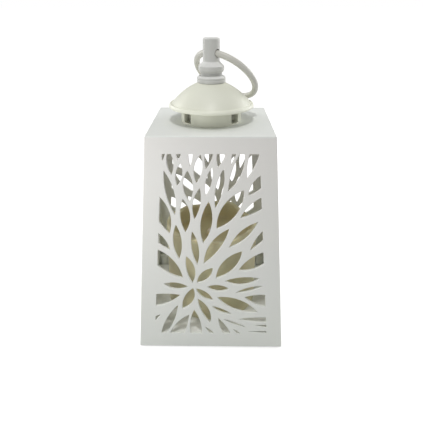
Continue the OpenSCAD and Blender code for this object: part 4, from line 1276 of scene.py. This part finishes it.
class LANTERN_OT_finial(bpy.types.Operator):
    """Turn the finial and bore its eye"""
    bl_idname = "lantern.finial"
    bl_label = "Finial"

    def execute(self, context):
        sizes = context.scene.lantern_cap
        foot = FINIAL_LOW.z
        top = FINIAL_HIGH.z
        flange = FINIAL_HIGH.x
        neck = foot + sizes.flange_height
        bulb = neck + sizes.neck_height
        post = bulb + sizes.bulb_height
        hole = sizes.screw_hole
        grip = foot + sizes.screw_grip
        groove = foot + 0.5 * sizes.flange_height
        r_neck = sizes.neck_radius
        r_bulb = sizes.bulb_radius
        r_post = sizes.post_radius
        # Radius, height and rounding of each corner, from the screw's hole round to the post's top
        corners = [
            (0, grip, 0), (hole, grip, 0), (hole, foot, 0),
            (flange - 0.6 * MM, foot, 0), (flange - 0.6 * MM, foot + 0.3 * MM, 0),
            (flange, foot + 0.45 * MM, 0.15 * MM),
            (flange, groove - 0.35 * MM, 0.2 * MM), (flange - 0.16 * MM, groove, 0.15 * MM),
            (flange, groove + 0.35 * MM, 0.2 * MM), (flange, neck - 0.95 * MM, 0.9 * MM),
            (flange - 1.1 * MM, neck - 0.1 * MM, 0.8 * MM), (r_neck, neck, 0.12 * MM),
            (r_neck - 0.1 * MM, (neck + bulb) / 2, 0.8 * MM), (r_neck, bulb, 0.12 * MM),
            (r_bulb - 0.6 * MM, bulb + 0.5 * MM, 0.5 * MM),
            (r_bulb, bulb + 0.24 * sizes.bulb_height, 1.0 * MM),
            (r_bulb, bulb + 0.58 * sizes.bulb_height, 0.8 * MM),
            (r_post, post, 1.3 * MM), (r_post, top, 1.4 * MM), (0, top, 0)]
        finial = lathe("finial_turned", corner_arcs(corners, steps=6), segments=160)
        reach = 2 * r_post
        bore = sizes.wire_radius + eye_sag() / 2 + sizes.eye_gap
        drill = rod("eye_drill", bore, -reach, reach, segments=64)
        turn = RING_AXIS.to_track_quat("Z", "Y").to_matrix().to_4x4()
        drill.data.transform(Matrix.Translation(RING_EYE) @ turn)
        weld_and_orient(boolean(finial, [drill], "DIFFERENCE"), CAD_WELD)
        place(finial, "grey_finial", finial_grey(), "finial", flat_area=BROAD_FLAT)
        return {"FINISHED"}


class LANTERN_OT_ring(bpy.types.Operator):
    """Bend the carry ring through the finial's eye"""
    bl_idname = "lantern.ring"
    bl_label = "Carry ring"

    def execute(self, context):
        sizes = context.scene.lantern_cap
        level = Vector((-RING_AXIS.y, RING_AXIS.x, 0.0))
        # The ring's centre lies this far from the eye, because its curve is centred in the bore
        away = sizes.ring_radius - eye_sag() / 2
        dip = math.asin((RING_EYE.z - RING_LOWEST - sizes.wire_radius) / (away + sizes.ring_radius))
        down = level * math.cos(dip) - Vector((0.0, 0.0, 1.0)) * math.sin(dip)
        centre = RING_EYE + down * away
        normal = RING_AXIS.cross(down)
        around = 192
        section = 28
        # A faint flat along the mould's parting line
        flat = 0.012
        flat_width = 0.12
        rings = []
        for i in range(around):
            a = 2 * math.pi * i / around
            out = RING_AXIS * math.sin(a) - down * math.cos(a)
            ring = []
            for k in range(section):
                b = 2 * math.pi * k / section
                wire = sizes.wire_radius * (1 - flat * math.exp(-((math.sin(b) / flat_width) ** 2)))
                outward = sizes.ring_radius + wire * math.cos(b)
                ring.append(centre + out * outward + normal * wire * math.sin(b))
            rings.append(ring)
        loop = skin("carry_loop", rings, looped=True)
        place(loop, "cream_ring", ring_grey(), "carry_ring", "ring", flat_area=ALL_ROUND)
        return {"FINISHED"}


# The candle and its light


class LANTERN_OT_candle(bpy.types.Operator):
    """Cast the candle with its wavy rim and pool"""
    bl_idname = "lantern.candle"
    bl_label = "Candle"

    def execute(self, context):
        sizes = context.scene.lantern_candle
        radius = CANDLE_HIGH.x
        foot = CANDLE_LOW.z
        top = CANDLE_HIGH.z
        pool = top - sizes.pool_depth
        rim = sizes.rim_width
        lip = rim / 3
        well = radius - rim
        hole = sizes.lens_radius + 0.05 * MM
        bend = 3.0 * MM
        soft = 0.5 * MM
        ripple = 0.1 * MM
        around = 216
        side_steps, rim_steps, well_steps, bend_steps, pool_steps = 16, 10, 4, 6, 12
        under = [(hole, pool), (hole, pool - sizes.wall), (well - 1.1 * MM, pool - sizes.wall),
                 (radius - sizes.wall, pool - 3 * sizes.wall), (radius - sizes.wall, foot)]

        def crest_at(angle):
            """Height of the rim, which the dips lower with soft edges between them."""
            total = 1.0
            for way, share_of_rim in RIM_DIP_SHARES:
                gap = math.remainder(angle - math.radians(way), 2 * math.pi) * (radius - rim / 2)
                total += math.exp((share_of_rim * rim - gap ** 2 / (2 * sizes.dip_radius)) / soft)
            return top - soft * math.log(total)

        def wander(angle, z):
            """Three waves round the wax that twist as they rise."""
            lift = (z - foot) / (top - foot)
            waves = 0.5 * math.sin(3 * angle + 1.0) + 0.3 * math.sin(5 * angle - 7 * lift)
            return sizes.wobble * (waves + 0.2 * math.sin(11 * angle + 4 * lift) - 1.0) * lift

        def outline(angle):
            """Up the side, over the rim, down the well and in to the lens, then back underneath."""
            shoulder = crest_at(angle) - lip
            path = [(radius, foot)]
            for k in range(1, side_steps + 1):
                z = foot + (shoulder - foot) * k / side_steps
                path.append((radius + wander(angle, z), z))
            edge = radius + wander(angle, shoulder)
            for k in range(1, rim_steps + 1):
                a = math.pi * k / rim_steps
                r = (edge + well) / 2 + (edge - well) / 2 * math.cos(a)
                path.append((r, shoulder + lip * math.sin(a)))
            for k in range(1, well_steps):
                path.append((well, shoulder + (pool + bend - shoulder) * k / well_steps))
            for k in range(bend_steps + 1):
                a = QUARTER * k / bend_steps
                path.append((well - bend * (1 - math.cos(a)), pool + bend * (1 - math.sin(a))))
            for k in range(1, pool_steps):
                s = k / pool_steps
                wave = ripple * math.sin(4 * angle + 9 * s) * s * (1 - s)
                path.append(((well - bend) * (1 - s) + hole * s, pool + wave))
            return [(r * math.cos(angle), r * math.sin(angle), z) for r, z in path + under]

        outlines = [outline(2 * math.pi * k / around) for k in range(around)]
        candle = skin("wax_candle", outlines, looped=True)
        bosses = [rod("boss", sizes.boss_radius, foot, foot + sizes.boss_height, segments=40,
                      centre=(middle.x, middle.y)) for _, _, middle in solids_of("candle_screws")]
        weld_and_orient(boolean(candle, bosses, "UNION"))
        finish = painted("candle_wax", wax, finishes().wax, finishes().pool, top, pool)
        place(candle, "candle_wax", finish, "candle_shell", flat_area=5 * BROAD_FLAT)
        return {"FINISHED"}


class LANTERN_OT_flame(bpy.types.Operator):
    """Turn the flame lens at the centre of the pool"""
    bl_idname = "lantern.flame"
    bl_label = "Flame lens"

    def execute(self, context):
        sizes = context.scene.lantern_candle
        r = sizes.lens_radius
        flange = LENS_HIGH.x
        low, high = LENS_LOW.z, LENS_HIGH.z
        shelf = low + sizes.lens_flange
        bore = sizes.led_radius
        bore_top = low + sizes.led_depth
        dome = corner_arcs([
            (bore, low, 0), (flange, low, 0.2 * MM), (flange, shelf, 0.2 * MM), (r, shelf, 0.1 * MM),
            (r, high - 1.05 * r, 2.0 * MM), (r * 0.72, high - 0.42 * r, 2.0 * MM), (0, high, 0)], steps=6)
        seat = [(0, bore_top), (0.6 * bore, bore_top - 0.16 * bore), (bore, bore_top - 0.7 * bore)]
        lens = lathe("flame_tip", seat + dome, segments=64)
        place(lens, "lens", painted("frosted_lens", frosted), "flame_lens", flat_area=ALL_ROUND)
        return {"FINISHED"}


# Small pieces


def screw_mesh(name, shank, head, head_height, reach):
    """One cross-head screw that points up, its head's underside at the origin."""
    ease = 0.25 * head_height
    corners = [(0, -head_height, 0), (head * 0.62, -head_height, 0.2 * head),
               (head, -head_height * 0.55, ease),
               (head, 0, 0), (shank, 0, 0), (shank, reach - shank, 0), (shank / 3, reach, 0), (0, reach, 0)]
    body = lathe(name, corner_arcs(corners, steps=4), segments=40)
    arm = head * 0.55
    thick = head * 0.11
    deep = -head_height * 0.45
    below = -head_height - 1.0 * MM
    cross = [box_object("slot", (-x, -y, below), (x, y, deep)) for x, y in ((arm, thick), (thick, arm))]
    return weld_and_orient(boolean(body, cross, "DIFFERENCE"))


# Radius of the shank, radius and height of the head
BIG = (1.5 * MM, 2.8 * MM, 1.5 * MM)
SMALL = (1.2 * MM, 2.2 * MM, 1.3 * MM)
TINY = (0.9 * MM, 1.7 * MM, 1.0 * MM)

# Each screw's cross stands at an angle of its own
FIRST_TURN = 0.7
NEXT_TURN = 1.9

# CAD node, name, size, and whether the screws point up
SCREWS = (
    ("base_screws", "foot_plate_screws", BIG, True),
    ("floor_screws", "panel_screws", SMALL, True),
    ("candle_screws", "candle_fixings", SMALL, True),
    ("cap_screws", "collar_screws", SMALL, True),
    ("finial_screw", "long_screw", BIG, True),
    ("board_screws", "board_fixings", SMALL, False),
    ("switch_screws", "switch_fixings", TINY, False),
)


class LANTERN_OT_screws(bpy.types.Operator):
    """Drive the cross-head screws"""
    bl_idname = "lantern.screws"
    bl_label = "Screws"

    def execute(self, context):
        for node, name, (shank, head, head_height), upwards in SCREWS:
            boxes = solids_of(node)
            low, high, _ = boxes[0]
            piece = screw_mesh(name + "_one", shank, head, head_height, high.z - low.z - head_height)
            places = [(middle.x, middle.y, low.z + head_height if upwards else high.z - head_height)
                      for low, high, middle in boxes]
            over = 0.0 if upwards else math.pi
            turns = [(over, 0.0, FIRST_TURN + NEXT_TURN * i) for i in range(len(boxes))]
            copies_of(piece, name, places, turns, "screw_steel", screw_steel(), node)
        return {"FINISHED"}


class LANTERN_OT_feet(bpy.types.Operator):
    """Set the four rubber feet"""
    bl_idname = "lantern.feet"
    bl_label = "Feet"

    def execute(self, context):
        boxes = solids_of("rubber_feet")
        low, high, _ = boxes[0]
        r = (high.x - low.x) / 2
        tall = high.z - low.z
        corners = [(0, 0.12 * MM, 0), (r * 0.45, 0, 0.4 * MM), (r * 0.86, 0, 0.5 * MM),
                   (r, 0.35 * tall, 0.5 * MM), (r, tall, 0), (0, tall, 0)]
        piece = lathe("foot_one", corner_arcs(corners, steps=4), segments=56)
        places = [(middle.x, middle.y, low.z) for low, _, middle in boxes]
        turns = [(0.0, 0.0, 0.0)] * len(boxes)
        copies_of(piece, "rubber_pads", places, turns, "foot_rubber", rubber(), "rubber_feet")
        return {"FINISHED"}


class LANTERN_OT_base(bpy.types.Operator):
    """Ease the edges of the base, the floor panel, the battery door and the switch"""
    bl_idname = "lantern.base"
    bl_label = "Base"

    def execute(self, context):
        for node, name, width, slot, finish, body in (
                ("base_plate", "foot_plate", 0.25 * MM, "base_plastic", base_white(), BODY),
                ("floor_panel", "candle_floor", 0.25 * MM, "base_plastic", floor_white(), BODY),
                ("battery_door", "cell_door", 0.2 * MM, "base_plastic", base_white(), "door"),
                ("switch_body", "switch_case", 0.15 * MM, "switch_black", dark_plastic(), BODY),
                ("switch_slider", "switch_knob", 0.12 * MM, "switch_black", dark_plastic(), "slider")):
            place(softened(node, name, width), slot, finish, node, body)
        return {"FINISHED"}


class LANTERN_OT_cells(bpy.types.Operator):
    """Load the cells and wind the contact springs"""
    bl_idname = "lantern.cells"
    bl_label = "Cells and springs"

    def execute(self, context):
        boxes = solids_of("cells")
        low, high, _ = boxes[0]
        r = (high.x - low.x) / 2
        whole = high.y - low.y
        nub = 1.9 * MM
        nub_height = 0.9 * MM
        can = whole - nub_height
        rim = can - 0.35 * MM
        corners = [(0, 0, 0), (r * 0.8, 0, 0.3 * MM), (r * 0.84, 0.25 * MM, 0.2 * MM),
                   (r, 0.35 * MM, 0.3 * MM), (r, can - 0.1 * MM, 0.4 * MM), (r * 0.82, can, 0.3 * MM),
                   (r * 0.7, rim, 0.2 * MM), (nub + 0.3 * MM, rim, 0.2 * MM),
                   (nub, can, 0.1 * MM), (nub, whole, 0.35 * MM), (0, whole, 0)]
        piece = lathe("cell_one", corner_arcs(corners, steps=4), segments=72)
        # A cell's flat end lies at the inner end of its box, and its nub at the outer one
        finish = painted("cell_jacket", film_jacket)
        copies_of(piece, "battery_cells", *lying(boxes, -1), "cell_jacket", finish, "cells",
                  flat_area=ALL_ROUND)

        wire = 0.35 * MM
        boxes = solids_of("contact_springs")
        low, high, _ = boxes[0]
        # The wide end of a spring stands on its contact plate, away from the cell
        places, turns = lying(boxes, 1, wire)
        springs = points_object("cell_springs", places, turn=turns)
        shaped(springs, spring_tree(), {
            "Finish": contact_plate(), "Turns": 4.0, "Foot radius": (high.z - low.z) / 2 - wire,
            "Tip radius": 1.85 * MM, "Height": high.y - low.y - 2 * wire, "Wire radius": wire})
        place(weld_and_orient(springs), "contact_steel", contact_plate(), "contact_springs",
              flat_area=ALL_ROUND)
        return {"FINISHED"}


class LANTERN_OT_works(bpy.types.Operator):
    """Finish the CAD pieces that keep their own shape"""
    bl_idname = "lantern.works"
    bl_label = "Works"

    def execute(self, context):
        black = lead("lead_black", (0.02, 0.02, 0.022))
        kept = {
            "led": painted("frosted_lens", frosted),
            "led_leads": screw_steel(),
            "led_board": painted("solder_mask", solder_mask),
            "control_chip": dark_plastic(),
            "contact_plates": contact_plate(),
            "lead_red": lead("lead_red", (0.42, 0.02, 0.015)),
            "lead_switch": black,
            "lead_black": black,
        }
        for node, finish in kept.items():
            mesh = frame["nodes"][node].data
            if not mesh.materials:
                mesh.materials.append(finish)
            for i in range(len(mesh.materials)):
                mesh.materials[i] = finish
        return {"FINISHED"}


# The stage

WHITE = (1.0, 1.0, 1.0, 1.0)
MIDDLE = (0.0, 0.0, 0.11)

# Name, place, aim, size and power of each lamp
LAMPS = (
    ("near", (-0.127, -0.158, 0.154), MIDDLE, 0.05, 0.085),
    ("key", (0.0, -0.38, 1.0), (0.0, 0.0, 0.18), 0.08, 2.6),
    ("top", (-0.05, 0.05, 0.9), MIDDLE, 0.7, 1.15),
    ("left", (-0.55, 0.32, 0.36), MIDDLE, 0.4, 1.6),
    ("right", (0.55, 0.32, 0.36), MIDDLE, 0.4, 2.1),
)

# The camera as fitted to the body's eight corners
CAMERA_PLACE = (4.63 * MM, -308.7 * MM, 246.1 * MM)
CAMERA_YAW = math.radians(-0.862)
CAMERA_PITCH = math.radians(26.344)
CAMERA_ROLL = math.radians(-0.08)
PICTURE_PIXELS = 423
FOCAL_PIXELS = 418.7


def pale(paint):
    """A pale ground that shows brighter to the camera than the light it gives to the lantern."""
    where = paint.where()
    cloud = paint.noise(where, 3.0, 4.0)
    seen = paint.ray("Is Camera Ray", "Is Glossy Ray", "Is Transmission Ray")
    glow = paint.span(paint.vector("LENGTH", where), 0.15, 0.8, 0.52, 0.85)
    return {"Base Color": paint.mix(cloud, (0.66, 0.66, 0.655), (0.68, 0.68, 0.675)), "Roughness": 0.9,
            "Emission Color": WHITE, "Emission Strength": seen * glow}


def studio_world():
    world = bpy.data.worlds.new("studio")
    world.use_nodes = True
    world.node_tree.nodes.clear()
    paint = Paint(world.node_tree)
    strength = paint.span(paint.ray("Is Camera Ray", "Is Transmission Ray"), 0.0, 1.0, 0.33, 1.0)
    sky = paint.make("ShaderNodeBackground", {"Color": WHITE, "Strength": strength})
    paint.add("ShaderNodeOutputWorld", {"Surface": sky})
    return world


def soft_lamp(name, location, aim, size, power):
    lamp = bpy.data.lights.new(name, "AREA")
    lamp.shape = "SQUARE"
    lamp.size = size
    lamp.energy = power
    lamp.specular_factor = 0.4
    obj = add_object(name, lamp)
    obj.location = location
    obj.rotation_euler = (Vector(aim) - Vector(location)).to_track_quat("-Z", "Y").to_euler()


class LANTERN_OT_stage(bpy.types.Operator):
    """Set the floor, lamps and camera"""
    bl_idname = "lantern.stage"
    bl_label = "Stage"

    def execute(self, context):
        scene = context.scene
        scene.view_settings.view_transform = "Standard"
        scene.world = studio_world()
        reach = 30.0
        corners = [(-reach, -reach, 0), (reach, -reach, 0), (reach, reach, 0), (-reach, reach, 0)]
        floor = object_from("floor", corners, [(0, 1, 2, 3)])
        floor.data.materials.append(painted("pale_floor", pale))
        for lamp in LAMPS:
            soft_lamp(*lamp)
        camera = bpy.data.cameras.new("camera")
        camera.lens = camera.sensor_width * FOCAL_PIXELS / PICTURE_PIXELS
        camera.clip_start = 0.01
        eye = add_object("camera", camera)
        level = math.cos(CAMERA_PITCH)
        ahead = Vector((math.sin(CAMERA_YAW) * level, math.cos(CAMERA_YAW) * level, -math.sin(CAMERA_PITCH)))
        look = ahead.to_track_quat("-Z", "Y") @ Matrix.Rotation(CAMERA_ROLL, 3, "Z").to_quaternion()
        eye.matrix_world = Matrix.Translation(CAMERA_PLACE) @ look.to_matrix().to_4x4()
        scene.camera = eye
        return {"FINISHED"}


class LANTERN_PT_panel(bpy.types.Panel):
    """Lists the lantern's pieces and their sizes"""
    bl_idname = "LANTERN_PT_panel"
    bl_label = "Lantern"
    bl_space_type = "VIEW_3D"
    bl_region_type = "UI"
    bl_category = "Lantern"

    def draw(self, context):
        column = self.layout.column()
        for operator in OPERATORS:
            column.operator(operator.bl_idname)
        for name, kind in SETTINGS.items():
            part = self.layout.box()
            part.label(text=kind.__doc__)
            for key in kind.__annotations__:
                part.prop(getattr(context.scene, name), key)


OPERATORS = (
    LANTERN_OT_stage,
    LANTERN_OT_housing,
    LANTERN_OT_collar,
    LANTERN_OT_cap,
    LANTERN_OT_finial,
    LANTERN_OT_ring,
    LANTERN_OT_candle,
    LANTERN_OT_flame,
    LANTERN_OT_screws,
    LANTERN_OT_feet,
    LANTERN_OT_base,
    LANTERN_OT_cells,
    LANTERN_OT_works,
)


def register():
    for kind in SETTINGS.values():
        bpy.utils.register_class(kind)
    for name, kind in SETTINGS.items():
        setattr(bpy.types.Scene, name, PointerProperty(type=kind))
    for operator in OPERATORS:
        bpy.utils.register_class(operator)
    bpy.utils.register_class(LANTERN_PT_panel)


def unregister():
    bpy.utils.unregister_class(LANTERN_PT_panel)
    for operator in reversed(OPERATORS):
        bpy.utils.unregister_class(operator)
    for name in SETTINGS:
        delattr(bpy.types.Scene, name)
    for kind in reversed(SETTINGS.values()):
        bpy.utils.unregister_class(kind)


def main():
    register()
    for operator in OPERATORS:
        group, action = operator.bl_idname.split(".")
        getattr(getattr(bpy.ops, group), action)()


if __name__ == "__main__":
    main()
